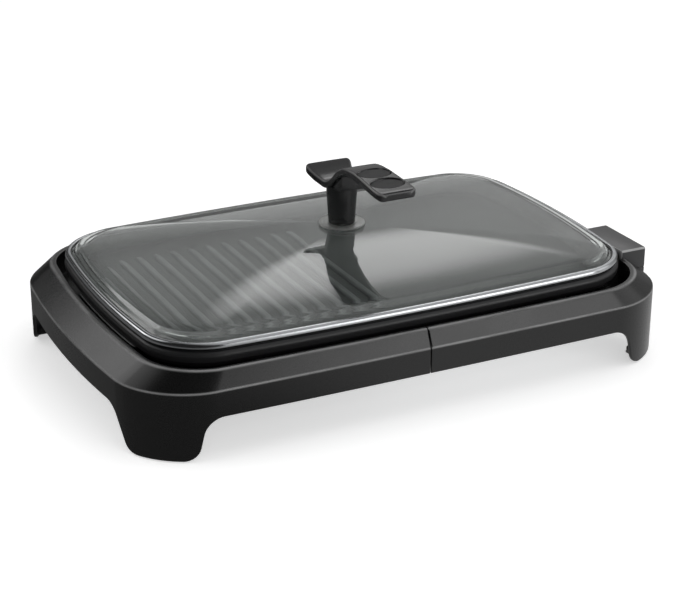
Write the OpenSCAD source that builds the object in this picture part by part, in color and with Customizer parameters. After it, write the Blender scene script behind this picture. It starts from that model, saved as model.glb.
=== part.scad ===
// Electric indoor grill with a lift-off glass lid.
// Origin: centre of the footprint on the table.  +X long axis, +Y back, +Z up.  Millimetres.

/* [Base frame] */
// Half length of the base at its corners, before the ends bow out
base_half_l = 260; // [250:1:270]
// Half depth of the base, before the long sides bow out
base_half_d = 172.9; // [168:0.1:180]
// Plan radius of the base corners
base_corner_r = 60.3; // [50:0.1:66]
// How far each end of the base bows out
base_end_bow = 15.7; // [8:0.1:18]
// How far each long side of the base bows out
base_side_bow = 2.6; // [1:0.1:4]
// Height of the crease where the skirt turns into the slope
crease_z = 63.3; // [61:0.1:66]
// Height of the inner lip of the base
lip_z = 79.5; // [78:0.5:81]
// Height of the lower edge of the skirt between the legs
skirt_z = 39; // [36:0.5:42]
// Wall thickness of the moulded base
wall = 3; // [2.5:0.1:3.5]
// Gap between the left and right halves of the base
seam_gap = 1.2; // [0.6:0.1:2]

/* [Grill plate] */
// Half length of the plate at its corners, before the ends bow out
plate_half_l = 231.8; // [228:0.1:233]
// Half depth of the plate, before the long sides bow out
plate_half_d = 148; // [145:0.5:150]
// Height of the cooking surface
floor_z = 75; // [74.5:0.1:75.5]
// Height of the rim that carries the lid
rim_z = 87.2; // [87:0.1:88]
// Number of sear ribs on the left half
rib_count = 13; // [9:1:13]
// Distance from one sear rib to the next
rib_pitch = 17.5; // [15:0.5:17.5]

/* [Lid] */
// Height of the crown of the glass
crown_z = 120.5; // [116:0.5:122]
// Thickness of the tempered glass
glass_t = 4; // [3.6:0.1:4.2]
// Height of the steel rim band
band_h = 7; // [6.5:0.1:7.5]

/* [Lid handle] */
// Diameter of the pillar at the glass
pillar_d = 25; // [22:0.5:28]
// Height of the crest of the wing above the crown
crest_h = 67.6; // [62:0.2:72]
// Thickness of the wing
wing_t = 7.6; // [6:0.2:9]

/* [Terminal socket] */
// Depth of the socket housing from front to back
socket_w = 68; // [64:1:72]
// Distance between the two contact pins
pin_gap = 26; // [24:1:28]
// Diameter of the contact pins
pin_d = 6; // [5:0.5:6.5]

/* [Hidden] */

eps = 0.01;
reach = [300, 200, 100];        // clear of the whole base on every side
arc_n = 8;                      // segments in each outline corner
long_n = 8;                     // segments along each long side
end_n = 6;                      // segments along each end

// An outline is [half length, half depth, corner radius, end bow, side bow].
base_o = [base_half_l, base_half_d, base_corner_r, base_end_bow, base_side_bow];
lip_o = [base_half_l - 20, base_half_d - 7.6, 50, base_end_bow - 2.2, base_side_bow + 0.4];
plate_o = [plate_half_l, plate_half_d, 49.1, 12.1, 6.5];
lid_o = [plate_half_l - 1, plate_half_d - 1, 48.1, 12.1, 6.5];
dome_o = [plate_half_l - 12, plate_half_d - 12, 38, 12.1, 6.5];

// legs
leg_z = 1;                      // lower edge of the moulded legs, above the table
front_fillet = [194, 18.8];     // seen from the front: where the skirt starts to turn down, and its radius
front_toe = [230, 15.5];        // where the leg's lower corner becomes flat, and its radius
end_fillet = [97, 21.5];        // the same two, seen from an end
end_toe = [138.5, 14.5];

// shelf inside the base
shelf_z = 57;                   // top of the shelf that carries the plate
shelf_t = 3;
shelf_w = 24;                   // how far the shelf reaches in from the inner wall
lip_w = 5;                      // width of the flat lip
sole_t = 5;                     // thickness of the sole moulded into each leg

// fixings
foot_r = 7.5;
foot_sink = 2;                  // how far a rubber foot goes up into its leg
pad_r = 7.4;
pad_h = 4.5;
pad_sink = 1.5;                 // how far a button goes down into the shelf
press_gap = 0.1;                // clearance round what is pressed into a hole
plate_foot_r = 5.5;
pan_boss = [4.5, 6];            // radius and height of the bosses for the pan screws
plate_boss_r = 5;
joiner_y = base_half_d - 3.5;
joiner_t = 2.5;
joiner_w = 2.8;                 // half width of a nut plate, and radius of a screw head
joiner_z = [46, 56];
joiner_margin = 4;              // nut plate beyond its screws
foot_x = 240;
foot_y = 143;
pad_x = 150;
pad_y = 144.5;
pan_screw_x = [70, 175];
pan_screw_y = 152.5;
pan_t = 0.8;                    // sheet of the reflector pan
pan_depth = 9.2;
screw_r = 1.9;                  // shank of every housing screw
hole_r = 2;                     // its hole

socket_y = -71;

// sear ribs
rib_w = 7.2;
rib_h = 2.7;
rib_half_l = 104;

edge_roll = 4.8;                // radius at which the plate's wall turns over

// heating element
tube_r = 3.3;
tube_z = 66.5;
bend_r = 30;
run_front = socket_y - pin_gap / 2;        // the four long runs, front to back
run_mid_front = socket_y + pin_gap / 2;
run_mid_back = 2.5;
run_back = 82.5;
loop_x = 190;
runs_y = [run_front, run_mid_front, run_mid_back, run_back];
clamp_x = [-110, 110];
clamp_l = 12;                   // along the element
clamp_t = 1.2;
clamp_reach = 12;               // from the element to the tip of an ear
clamp_screw_y = 8;
clamp_fit = 0.05;
clamp_z = floor_z - 5;          // underside of the plate
clamp_spots = [for (x = clamp_x, y = runs_y, s = [-clamp_screw_y, clamp_screw_y]) [x, y + s]];

// socket
socket_x0 = 246;
run_x = socket_x0 - 6;          // where the ends of the element meet the pins
socket_x1 = 273;
socket_z0 = 50;
socket_z1 = 86.6;
tongue_x0 = 201;
tongue_w = 60;
split_z = tube_z;
socket_screw = [[209, socket_y - 25.5], [209, socket_y + 25.5]];    // housing to plate
hood_screw = [[262, socket_y - 30.5], [262, socket_y + 30.5]];      // upper half to lower half
hood_screw_top = 75;
cavity_x = 250.5;                 // front face of the terminal plate
pin_x = cavity_x + 0.5;           // where a pin steps up from its shank to its full diameter
pin_l = 17.5;
pin_tip = 1.5;                  // length of the taper at the end of a pin
shank_r = 2.6;
insulator_r = 5;
cavity_w = 54;
cavity_z0 = 54;
cavity_z1 = 80.5;
sleeve_r = 4.5;
probe_r = 3.2;
sleeve_x = tongue_x0 + 4;       // closed end of the probe sleeve
earth_w = 12;
earth_l = 15;
housing_bevel = 1.4;
notch_gap = 1.2;                // clearance between the base and the socket housing

// handle
pillar_r = pillar_d / 2;
pillar_h = 37;
pillar_swell = 1.9;             // how much wider the pillar is under the wing
glass_top = crown_z;
washer_t = 2;
pillar_z = glass_top + washer_t;
web_w = 24;
web_y = -23;
web_h = 37.5;                   // underside of the web above the washer
// Stations of the wing from the tail to the front: [y, height of the top above the washer, width].
wing = [[31.5, 50.6, 38], [29, 49.6, 46], [22, 46, 43], [13, 42.6, 37], [4, 41.3, 33], [-6, 46, 31],
        [-16, 54.4, 32], [-27, crest_h - 6.1, 34], [-38, crest_h - 1.9, 35], [-57, crest_h, 35],
        [-80, crest_h - 1.2, 37], [-102, crest_h - 2.8, 38.5], [-108, crest_h - 3.2, 37],
        [-111, crest_h - 3.8, 30]];
wing_edge_r = 2.6;
// Finger pads: [y, height of the wing's top above the washer there].
pad_spots = [[-64.5, crest_h - 0.4], [-90, crest_h - 1.9]];
pad_oval = [15.5, 11];          // half width and half length of a finger pad
recess_depth = 2.2;
pad_t = 1.3;
pad_tilt = 3.5;
insert_r = 4;
insert_l = 14;

function mix(p, q, t) = p + (q - p) * t;
function blend(o, q, t) = [for (i = [0:4]) mix(o[i], q[i], t)];
function arc(c, r, a0, a1, n) = [for (i = [0:n]) let (t = a0 + (a1 - a0) * i / n) c + r * [cos(t), sin(t)]];
function between(p, q, n) = [for (i = [1:n - 1]) mix(p, q, i / n)];
function plain(a, b, r) = concat(
    arc([a - r, b - r], r, 0, 90, arc_n), between([a - r, b], [r - a, b], long_n),
    arc([r - a, b - r], r, 90, 180, arc_n), between([-a, b - r], [-a, r - b], end_n),
    arc([r - a, r - b], r, 180, 270, arc_n), between([r - a, -b], [a - r, -b], long_n),
    arc([a - r, r - b], r, 270, 360, arc_n), between([a, r - b], [a, b - r], end_n));
// One ring: outline o drawn in by d at height z, with its bows.
function ring(o, d, z) = let (a = o[0] - d, b = o[1] - d)
    [for (p = plain(a, b, max(o[2] - d, 5)))
        [p.x * (1 + o[3] / a * (1 - pow(p.y / b, 2))), p.y * (1 + o[4] / b * (1 - pow(p.x / a, 2))), z]];
function shrunk(o, s, z) = [for (p = ring(o, 0, z)) [p.x * s, p.y * s, z]];

// Skin through rings of equal count.  closed = true joins the last ring to the first.
module loft(rings, closed = false) {
    n = len(rings[0]);
    k = len(rings);
    last = closed ? k - 1 : k - 2;
    sides = [for (j = [0:last], i = [0:n - 1]) let (u = (j + 1) % k, v = (i + 1) % n)
        each [[j * n + i, u * n + i, u * n + v], [j * n + i, u * n + v, j * n + v]]];
    caps = closed ? [] : [[for (i = [0:n - 1]) i], [for (i = [n - 1:-1:0]) (k - 1) * n + i]];
    polyhedron(points = [for (r = rings) each r], faces = concat(sides, caps));
}

module at(points) {
    for (p = points) translate(p) children();
}

module four(x, y, z) {
    at([[x, y, z], [-x, y, z], [-x, -y, z], [x, -y, z]]) children();
}

module box(lo, hi) {
    translate(lo) cube(hi - lo);
}

// ---- base frame --------------------------------------------------------------------------

function outer_skin() = [
    ring(base_o, 0.8, leg_z), ring(base_o, 0, leg_z + 1.2), ring(base_o, 0, crease_z - 2),
    ring(blend(base_o, lip_o, 0.03), 0, crease_z - 0.2),
    ring(blend(base_o, lip_o, 0.13), 0, crease_z + 2),
    ring(blend(base_o, lip_o, 0.93), 0, lip_z - 1.2), ring(lip_o, 0.9, lip_z)];

module base_shell() {
    loft(concat(outer_skin(), [
        ring(lip_o, lip_w - 0.8, lip_z), ring(lip_o, lip_w, lip_z - 0.8),
        ring(lip_o, lip_w, shelf_z), ring(lip_o, lip_w + shelf_w, shelf_z),
        ring(lip_o, lip_w + shelf_w, shelf_z - shelf_t), ring(lip_o, lip_w - wall, shelf_z - shelf_t),
        ring(lip_o, lip_w - wall, lip_z - wall - 0.5), ring(base_o, wall, crease_z - wall / 2),
        ring(base_o, wall, leg_z)]), closed = true);
}

// The same section filled in, used for the walls that close the hollow ends.
module base_fill() {
    loft(concat(outer_skin(), [
        ring(lip_o, lip_w - 0.8, lip_z), ring(lip_o, lip_w, lip_z - 0.8),
        ring(lip_o, lip_w, skirt_z), ring(base_o, wall, skirt_z), ring(base_o, wall, leg_z)]), closed = true);
}

// Half of the opening between two legs: the skirt turns down through the fillet, runs straight
// along the edge of the leg, and turns through the toe into its flat foot.
function arch_side(fillet, toe) = let (
    c1 = [fillet[0], skirt_z - fillet[1]],
    c2 = [toe[0], leg_z + toe[1]],
    d = c2 - c1,
    lean = atan2(d.y, d.x) + acos((fillet[1] + toe[1]) / norm(d)))
    concat(arc(c1, fillet[1], 90, lean, 8), arc(c2, toe[1], 180 + lean, 270, 8));

module arch(fillet, toe) {
    right = arch_side(fillet, toe);
    polygon(concat(right, [[toe[0], -5], [-toe[0], -5]],
        [for (i = [len(right) - 1:-1:0]) [-right[i].x, right[i].y]]));
}

module arches() {
    rotate([90, 0, 0]) translate([0, 0, -reach.y]) linear_extrude(2 * reach.y) arch(front_fillet, front_toe);
    rotate([90, 0, 90]) translate([0, 0, -reach.x]) linear_extrude(2 * reach.x) arch(end_fillet, end_toe);
}

module leg_soles(side) {
    intersection() {
        loft([ring(base_o, wall / 2, leg_z), ring(base_o, wall / 2, leg_z + sole_t)]);
        for (y = [-1, 1])
            translate([side * (foot_x + 19.5), y * (foot_y + 20.5), 5]) cube([60, 60, 12], center = true);
    }
}

module base_half(side) {
    keep = side < 0 ? [[-reach.x, -reach.y, -1], [-seam_gap / 2, reach.y, reach.z]]
                    : [[seam_gap / 2, -reach.y, -1], reach];
    difference() {
        union() {
            intersection() {
                difference() {
                    base_shell();
                    arches();
                }
                box(keep[0], keep[1]);
            }
            intersection() {
                base_fill();
                union() {
                    x0 = side < 0 ? -seam_gap / 2 - wall : seam_gap / 2;
                    box([x0, -reach.y, skirt_z], [x0 + wall, reach.y, reach.z]);
                    if (side > 0) {
                        for (y = [socket_y - socket_w / 2 - notch_gap - wall, socket_y + socket_w / 2 + notch_gap])
                            box([socket_x0 - 6, y, skirt_z], [reach.x, y + wall, reach.z]);
                    }
                }
            }
            leg_soles(side);
            // bosses for the pan screws
            for (x = pan_screw_x, y = [-pan_screw_y, pan_screw_y])
                translate([side * x, y, shelf_z - eps]) cylinder(r = pan_boss[0], h = pan_boss[1], $fn = 32);
        }
        if (side > 0) socket_notch();
        for (x = pan_screw_x, y = [-pan_screw_y, pan_screw_y])
            translate([side * x, y, shelf_z - shelf_t - 1]) cylinder(r = hole_r, h = 20, $fn = 32);
        for (y = [-pad_y, pad_y])
            translate([side * pad_x, y, shelf_z - pad_sink]) cylinder(r = pad_r + press_gap, h = pad_h, $fn = 48);
        for (y = [-foot_y, foot_y])
            translate([side * foot_x, y, -1]) cylinder(r = foot_r + press_gap, h = leg_z + foot_sink + 2, $fn = 48);
        for (y = [-joiner_y, joiner_y], z = joiner_z)
            translate([-10, y, z]) rotate([0, 90, 0]) cylinder(r = hole_r, h = 20, $fn = 32);
    }
}

module socket_notch() {
    box([tongue_x0 - 10, socket_y - socket_w / 2 - notch_gap, socket_z0 - notch_gap],
        [reach.x, socket_y + socket_w / 2 + notch_gap, reach.z]);
}

module base_left() {
    color("#242424") base_half(-1);
}

module base_right() {
    color("#262626") base_half(1);
}

// Two nut plates inside the seam, front and back, on the right half.
module seam_joiners() {
    color("#9a9c9e") for (y = [-joiner_y, joiner_y]) difference() {
        box([seam_gap / 2 + wall, y - joiner_w, joiner_z[0] - joiner_margin],
            [seam_gap / 2 + wall + joiner_t, y + joiner_w, joiner_z[1] + joiner_margin]);
        for (z = joiner_z) translate([0, y, z]) rotate([0, 90, 0]) cylinder(r = hole_r, h = 20, $fn = 32);
    }
}

// A pan head screw pointing up, with the underside of its head at z = 0.
module screw(shank, r = screw_r, head_r = 3.4, head_h = 2.2) {
    difference() {
        union() {
            cylinder(r = r, h = shank, $fn = 32);
            translate([0, 0, -head_h]) cylinder(r = head_r, h = head_h, $fn = 40);
        }
        for (a = [0, 90]) rotate(a) translate([-1.9, -0.4, -head_h - 0.5]) cube([3.8, 0.8, 1.6]);
    }
}

module joiner_screws() {
    color("#b5b7b9") for (y = [-joiner_y, joiner_y], z = joiner_z)
        translate([-seam_gap / 2 - wall, y, z]) rotate([0, 90, 0]) screw(12, head_r = joiner_w);
}

// Sheet steel tray under the heater, hung from the shelf.
module reflector_pan() {
    z = shelf_z - shelf_t;
    in = lip_w + shelf_w;
    color("#a9acae") difference() {
        loft([ring(lip_o, in + 8, z - pan_depth - pan_t), ring(lip_o, in + 4, z - pan_depth + 0.7),
            ring(lip_o, in + 2, z - pan_t), ring(lip_o, lip_w + 4, z - pan_t), ring(lip_o, lip_w + 4, z),
            ring(lip_o, in + 2 + pan_t, z), ring(lip_o, in + 4 + pan_t, z - pan_depth + 1.2),
            ring(lip_o, in + 8.4, z - pan_depth)]);
        socket_notch();
        at([for (x = pan_screw_x, i = [-1, 1], j = [-1, 1]) [i * x, j * pan_screw_y, z - 3]])
            cylinder(r = hole_r, h = 6, $fn = 32);
    }
}

module pan_screws() {
    color("#b5b7b9") at([for (x = pan_screw_x, i = [-1, 1], j = [-1, 1])
        [i * x, j * pan_screw_y, shelf_z - shelf_t - pan_t]]) screw(9);
}

module rubber_feet() {
    color("#1a1a1a") four(foot_x, foot_y, 0) {
        cylinder(r1 = foot_r - 0.8, r2 = foot_r, h = 0.8, $fn = 48);
        translate([0, 0, 0.8 - eps]) cylinder(r = foot_r, h = leg_z + foot_sink - 0.8, $fn = 48);
    }
}

// Heat resistant buttons, pressed into the shelf, that the cast feet of the plate stand on.
module plate_pads() {
    color("#6a3a2c") four(pad_x, pad_y, shelf_z - pad_sink) {
        cylinder(r = pad_r, h = pad_h - 1, $fn = 48);
        translate([0, 0, pad_h - 1 - eps]) cylinder(r1 = pad_r, r2 = pad_r - 1, h = 1, $fn = 48);
    }
}

// ---- grill plate and heater ---------------------------------------------------------------

// Ribs keep clear of the rounded corners of the cooking floor.
function rib_x(i) = -rib_pitch * (i + 0.45);
function rib_half(i) = rib_half_l - 1.6 * pow(max(0, i - 9), 3);

module rib(half) {
    rotate([90, 0, 0]) translate([0, 0, -half]) linear_extrude(2 * half)
        polygon([for (s = [-1, 1], p = s < 0 ? [[0.5, -0.5], [0.445, 0.6], [0.264, rib_h]]
                                             : [[0.264, rib_h], [0.445, 0.6], [0.5, -0.5]]) [s * p.x * rib_w, p.y]]);
}

// Raised bead that a fingernail finds when the plate is lifted out, on each end.
module lifting_beads() {
    intersection() {
        loft([ring(plate_o, 1, floor_z), ring(plate_o, -1.2, floor_z + 0.3), ring(plate_o, -1.2, floor_z + 1.7),
            ring(plate_o, 1, floor_z + 2.2)]);
        union() {
            box([-reach.x, -88, floor_z - 1], [-plate_half_l + 32, 50, floor_z + 4]);
            box([plate_half_l - 32, 0, floor_z - 1], [reach.x, 90, floor_z + 4]);
        }
    }
}

module grill_plate() {
    // the outer wall turns over through a quarter circle into the flat rim
    rolled_edge = [for (t = [0, 22, 44, 66, 90])
        ring(plate_o, edge_roll * (1 - cos(t)), rim_z - edge_roll * (1 - sin(t)))];
    color("#2b2b2c") difference() {
        union() {
            loft(concat([ring(plate_o, 16, floor_z - 5), ring(plate_o, 6, floor_z - 3.5),
                ring(plate_o, 2.5, floor_z + 1), ring(plate_o, 0.6, floor_z + 2.4)],
                rolled_edge, [ring(plate_o, 6, rim_z),
                ring(plate_o, 7.6, rim_z - 1.4), ring(plate_o, 13, floor_z + 2.4),
                ring(plate_o, 14.5, floor_z + 0.7), ring(plate_o, 18, floor_z)]));
            for (i = [0:rib_count - 1]) translate([rib_x(i), 0, floor_z]) rib(rib_half(i));
            lifting_beads();
            four(pad_x, pad_y, shelf_z + 3) cylinder(r = plate_foot_r, h = floor_z - shelf_z - 5, $fn = 40);
            // bosses for the socket housing
            at([for (p = socket_screw) [p.x, p.y, split_z]]) cylinder(r = plate_boss_r, h = floor_z - 3 - split_z, $fn = 40);
        }
        at([for (p = socket_screw) [p.x, p.y, split_z - 1]]) cylinder(r = hole_r, h = 7.5, $fn = 32);
        // groove for the probe sleeve
        translate([sleeve_x - 0.5, socket_y, tube_z]) rotate([0, 90, 0]) cylinder(r = sleeve_r + 0.05, h = 60, $fn = 48);
        at([for (p = clamp_spots) [p.x, p.y, clamp_z - 1]]) cylinder(r = 1.5, h = 4, $fn = 32);
    }
}

// A straight run of the sheathed element from p to q.
module run(p, q, r) {
    d = q - p;
    translate([p.x, p.y, tube_z]) rotate([0, 0, atan2(d.y, d.x)]) rotate([0, 90, 0])
        cylinder(r = r, h = norm(d), $fn = 24);
}

// A bend about c that starts at angle a0 and turns by sweep.
module bend(c, rad, a0, sweep, r) {
    translate([c.x, c.y, tube_z]) rotate(a0) rotate_extrude(angle = sweep, $fn = 48)
        translate([rad, 0]) circle(r = r, $fn = 24);
}

module heating_element() {
    back_r = (run_back - run_mid_back) / 2;
    mid_r = (run_mid_back - run_mid_front) / 2;
    color("#8d8a86") {
        run([run_x, run_front], [-loop_x, run_front], tube_r);
        bend([-loop_x, run_front + bend_r], bend_r, 180, 90, tube_r);
        run([-loop_x - bend_r, run_front + bend_r], [-loop_x - bend_r, run_back - bend_r], tube_r);
        bend([-loop_x, run_back - bend_r], bend_r, 90, 90, tube_r);
        run([-loop_x, run_back], [loop_x - 30, run_back], tube_r);
        bend([loop_x - 30, run_back - back_r], back_r, -90, 180, tube_r);
        run([loop_x - 30, run_mid_back], [-loop_x + 50, run_mid_back], tube_r);
        bend([-loop_x + 50, run_mid_back - mid_r], mid_r, 90, 180, tube_r);
        run([-loop_x + 50, run_mid_front], [run_x, run_mid_front], tube_r);
    }
}

// Straps that hold the element up against the plate.
module element_clamps() {
    half = clamp_l / 2;
    bore = tube_r + clamp_fit;
    color("#b0b2b4") for (x = clamp_x, y = runs_y) translate([x, y, 0]) difference() {
        union() {
            box([-half, -clamp_reach, clamp_z - clamp_t], [half, clamp_reach, clamp_z]);
            translate([-half, 0, tube_z]) rotate([0, 90, 0]) cylinder(r = tube_r + clamp_t, h = clamp_l, $fn = 40);
        }
        translate([-half - 1, 0, tube_z]) rotate([0, 90, 0]) cylinder(r = bore, h = clamp_l + 2, $fn = 40);
        box([-half - 1, -bore, tube_z], [half + 1, bore, clamp_z + 3]);
        box([-half - 1, -clamp_reach - 1, clamp_z], [half + 1, clamp_reach + 1, clamp_z + 3]);
        for (s = [-clamp_screw_y, clamp_screw_y]) translate([0, s, clamp_z - 3]) cylinder(r = 1.6, h = 6, $fn = 32);
    }
}

module clamp_screws() {
    color("#c2c4c6") at([for (p = clamp_spots) [p.x, p.y, clamp_z - clamp_t]])
        screw(3.6, r = 1.45, head_r = 2.8, head_h = 1.6);
}

// Each pin has a thinner shank that passes through its insulator to the end of the element.
module contact_pins() {
    color("#c9b27a") for (y = [run_front, run_mid_front]) translate([0, y, tube_z]) rotate([0, 90, 0]) {
        translate([0, 0, run_x]) cylinder(r = shank_r, h = pin_x - run_x + eps, $fn = 40);
        translate([0, 0, pin_x]) cylinder(d = pin_d, h = pin_l, $fn = 40);
        translate([0, 0, pin_x + pin_l]) cylinder(d1 = pin_d, d2 = pin_d - 2, h = pin_tip, $fn = 40);
    }
}

module pin_insulators() {
    color("#e6e1d6") for (y = [run_front, run_mid_front])
        translate([run_x + 0.5, y, tube_z]) rotate([0, 90, 0]) difference() {
            cylinder(r = insulator_r, h = cavity_x - run_x - 0.5, $fn = 40);
            translate([0, 0, -1]) cylinder(r = shank_r + 0.03, h = 30, $fn = 40);
        }
}

// Wall between the socket and the heater.  The insulators and the probe sleeve pass through it.
module terminal_plate() {
    color("#5b3328") difference() {
        box([socket_x0, socket_y - cavity_w / 2, cavity_z0], [cavity_x, socket_y + cavity_w / 2, cavity_z1]);
        housing_bores();
    }
}

// Closed tube that the temperature probe slides into.
module probe_sleeve() {
    color("#b98a4a") translate([sleeve_x, socket_y, tube_z]) rotate([0, 90, 0]) difference() {
        cylinder(r = sleeve_r, h = cavity_x + 3 - sleeve_x, $fn = 48);
        translate([0, 0, 2]) cylinder(r = probe_r, h = 60, $fn = 48);
    }
}

module earth_contact() {
    color("#c2c4c6") {
        box([cavity_x, socket_y - earth_w / 2, cavity_z0], [cavity_x + earth_l, socket_y + earth_w / 2, cavity_z0 + 0.8]);
        translate([cavity_x + 10, socket_y - earth_w / 2, cavity_z0 + 1.4]) rotate([-90, 0, 0])
            cylinder(r = 1.4, h = earth_w, $fn = 32);
    }
}

// ---- socket housing ------------------------------------------------------------------------

module housing(z0, z1, bevel) {
    c = housing_bevel;
    y0 = socket_y - socket_w / 2;
    y1 = socket_y + socket_w / 2;
    intersection() {
        translate([0, 0, z0]) linear_extrude(z1 - z0)
            polygon([[socket_x0, y0], [socket_x1 - c, y0], [socket_x1, y0 + c], [socket_x1, y1 - c],
                [socket_x1 - c, y1], [socket_x0, y1]]);
        rotate([90, 0, 90]) translate([0, 0, socket_x0 - 1]) linear_extrude(40)
            polygon([[y0, z0], [y1, z0], [y1, z1 - bevel], [y1 - bevel, z1], [y0 + bevel, z1], [y0, z1 - bevel]]);
    }
}

module housing_bores() {
    for (y = [run_front, run_mid_front]) {
        translate([tongue_x0 - 1, y, tube_z]) rotate([0, 90, 0])
            cylinder(r = tube_r + 0.1, h = run_x + 0.5 - tongue_x0, $fn = 40);
        translate([run_x - 1, y, tube_z]) rotate([0, 90, 0]) cylinder(r = insulator_r + 0.05, h = 20, $fn = 40);
    }
    translate([sleeve_x, socket_y, tube_z]) rotate([0, 90, 0]) cylinder(r = sleeve_r + 0.05, h = 60, $fn = 48);
}

module housing_voids() {
    box([socket_x0 - eps, socket_y - cavity_w / 2, cavity_z0], [reach.x, socket_y + cavity_w / 2, cavity_z1]);
    at([for (p = hood_screw) [p.x, p.y, socket_z0 - 1]]) cylinder(r = hole_r, h = hood_screw_top - socket_z0, $fn = 32);
}

module socket_upper() {
    color("#3a3a3b") difference() {
        housing(split_z, socket_z1, housing_bevel);
        housing_voids();
    }
}

// The lower half carries a tongue that lies under the plate and beds the sleeve and the element.
module socket_lower() {
    color("#2c2c2d") difference() {
        union() {
            housing(socket_z0, split_z, 0);
            box([tongue_x0, socket_y - tongue_w / 2, socket_z0], [socket_x0 + eps, socket_y + tongue_w / 2, split_z]);
        }
        housing_voids();
        housing_bores();
        at([for (p = socket_screw) [p.x, p.y, socket_z0 - 1]]) cylinder(r = hole_r, h = 30, $fn = 32);
    }
}

module socket_screws() {
    color("#b5b7b9") {
        at([for (p = socket_screw) [p.x, p.y, socket_z0]]) screw(21.5);
        at([for (p = hood_screw) [p.x, p.y, socket_z0]]) screw(22);
    }
}

// ---- lid -------------------------------------------------------------------------------------

shoulder_z = 99.5;
glass_edge_z = rim_z + 2;
flat_s = 0.06;                  // share of the dome that is flat around the handle's hole
function dome_z(s) = shoulder_z + (crown_z - shoulder_z) * (1 - s * s);
seat_z = dome_z(flat_s);        // the flat, where the washer sits
under_z = seat_z - glass_t - 0.23;    // top of the lower washer
seal_t = 1.6;
cup_t = 1.2;
washer_r = 21.8;
seal_r = 12;
cup_r = 10.5;
bolt_r = 2.45;                  // the screw that holds the handle
bolt_hole_r = 2.7;
glass_hole_r = 3.2;

module lid_glass() {
    crown = [flat_s, 0.3, 0.5, 0.7, 0.86];
    under = [for (s = crown) shrunk(dome_o, s, dome_z(s) - glass_t)];
    over = [for (i = [len(crown) - 1:-1:0]) shrunk(dome_o, crown[i], dome_z(crown[i]))];
    color("#8fa0a4", 0.45) difference() {
        loft(concat(under, [shrunk(dome_o, 0.96, dome_z(0.96) - glass_t), ring(lid_o, 12.6, glass_edge_z + 4.6),
            ring(lid_o, 9.6, glass_edge_z + 1.4), ring(lid_o, 7.2, glass_edge_z), ring(lid_o, 1.8, glass_edge_z),
            ring(lid_o, 1.8, glass_edge_z + glass_t - 0.5), ring(lid_o, 2.4, glass_edge_z + glass_t),
            ring(lid_o, 5.8, glass_edge_z + glass_t),
            ring(lid_o, 7.6, glass_edge_z + glass_t + 1.2), ring(lid_o, 10.4, shoulder_z - 1.9),
            ring(dome_o, 2, shoulder_z + 0.2)], over));
        translate([0, 0, crown_z - 10]) cylinder(r = glass_hole_r, h = 20, $fn = 40);
    }
}

// Rolled steel channel around the edge of the glass, half round on the outside.
module lid_rim() {
    z0 = rim_z + 0.2;
    z1 = z0 + band_h;
    color("#d4d6d8") loft([ring(lid_o, 1.4, z0), ring(lid_o, 0.4, z0 + 1), ring(lid_o, 0, z0 + 2.4),
        ring(lid_o, 0, z1 - 3.4), ring(lid_o, 0.5, z1 - 1.6), ring(lid_o, 1.6, z1 - 0.4), ring(lid_o, 2.9, z1),
        ring(lid_o, 4.6, z1), ring(lid_o, 5, z1 - 0.7), ring(lid_o, 2.4, z1 - 0.75), ring(lid_o, 1.4, z1 - 1.8),
        ring(lid_o, 0.9, z1 - 3.2), ring(lid_o, 0.9, z0 + 2.4), ring(lid_o, 1.5, z0 + 0.8),
        ring(lid_o, 7, z0 + 0.8), ring(lid_o, 7, z0)], closed = true);
}

module rim_gasket() {
    color("#d8d6d0") loft([ring(lid_o, 1.8, rim_z + 1), ring(lid_o, 1.8, glass_edge_z),
        ring(lid_o, 6.5, glass_edge_z), ring(lid_o, 6.5, rim_z + 1)], closed = true);
}

// ---- lid handle ------------------------------------------------------------------------------

module disc(z, h, outer, inner) {
    translate([0, 0, z]) difference() {
        cylinder(r = outer, h = h, $fn = 64);
        translate([0, 0, -1]) cylinder(r = inner, h = h + 2, $fn = 40);
    }
}

module crown_washer() {
    color("#c4c8c8", 0.7) disc(seat_z, pillar_z - seat_z, washer_r, bolt_hole_r);
}

module seal_washer() {
    color("#d8d6d0") disc(under_z - seal_t, seal_t, seal_r, bolt_hole_r);
}

module screw_cup() {
    color("#c2c4c6") disc(under_z - seal_t - cup_t, cup_t, cup_r, bolt_hole_r);
}

module handle_screw() {
    color("#c2c4c6") translate([0, 0, under_z - seal_t - cup_t]) screw(22, r = bolt_r, head_r = 5, head_h = 3);
}

module handle_insert() {
    color("#c9a65a") disc(pillar_z, insert_l, insert_r, bolt_r + 0.05);
}

// One upright section of the wing, seen from the front, centred on its own height.
function section(st) = let (w = st[2] / 2, t = wing_t / 2, r = wing_edge_r)
    [for (p = concat(arc([w - r, t - r], r, 0, 90, 3), arc([r - w, t - r], r, 90, 180, 3),
        arc([r - w, r - t], r, 180, 270, 3), arc([w - r, r - t], r, 270, 360, 3)))
        [p.x, st[0], pillar_z + st[1] - t + p.y]];

function oval(p, q) = [for (i = [0:31]) [p * cos(i * 11.25), q * sin(i * 11.25)]];

module pad_shape(grow, h) {
    for (p = pad_spots) translate([0, p[0], pillar_z + p[1] - recess_depth]) rotate([pad_tilt, 0, 0])
        linear_extrude(h) polygon(oval(pad_oval.x + grow, pad_oval.y + grow));
}

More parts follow.
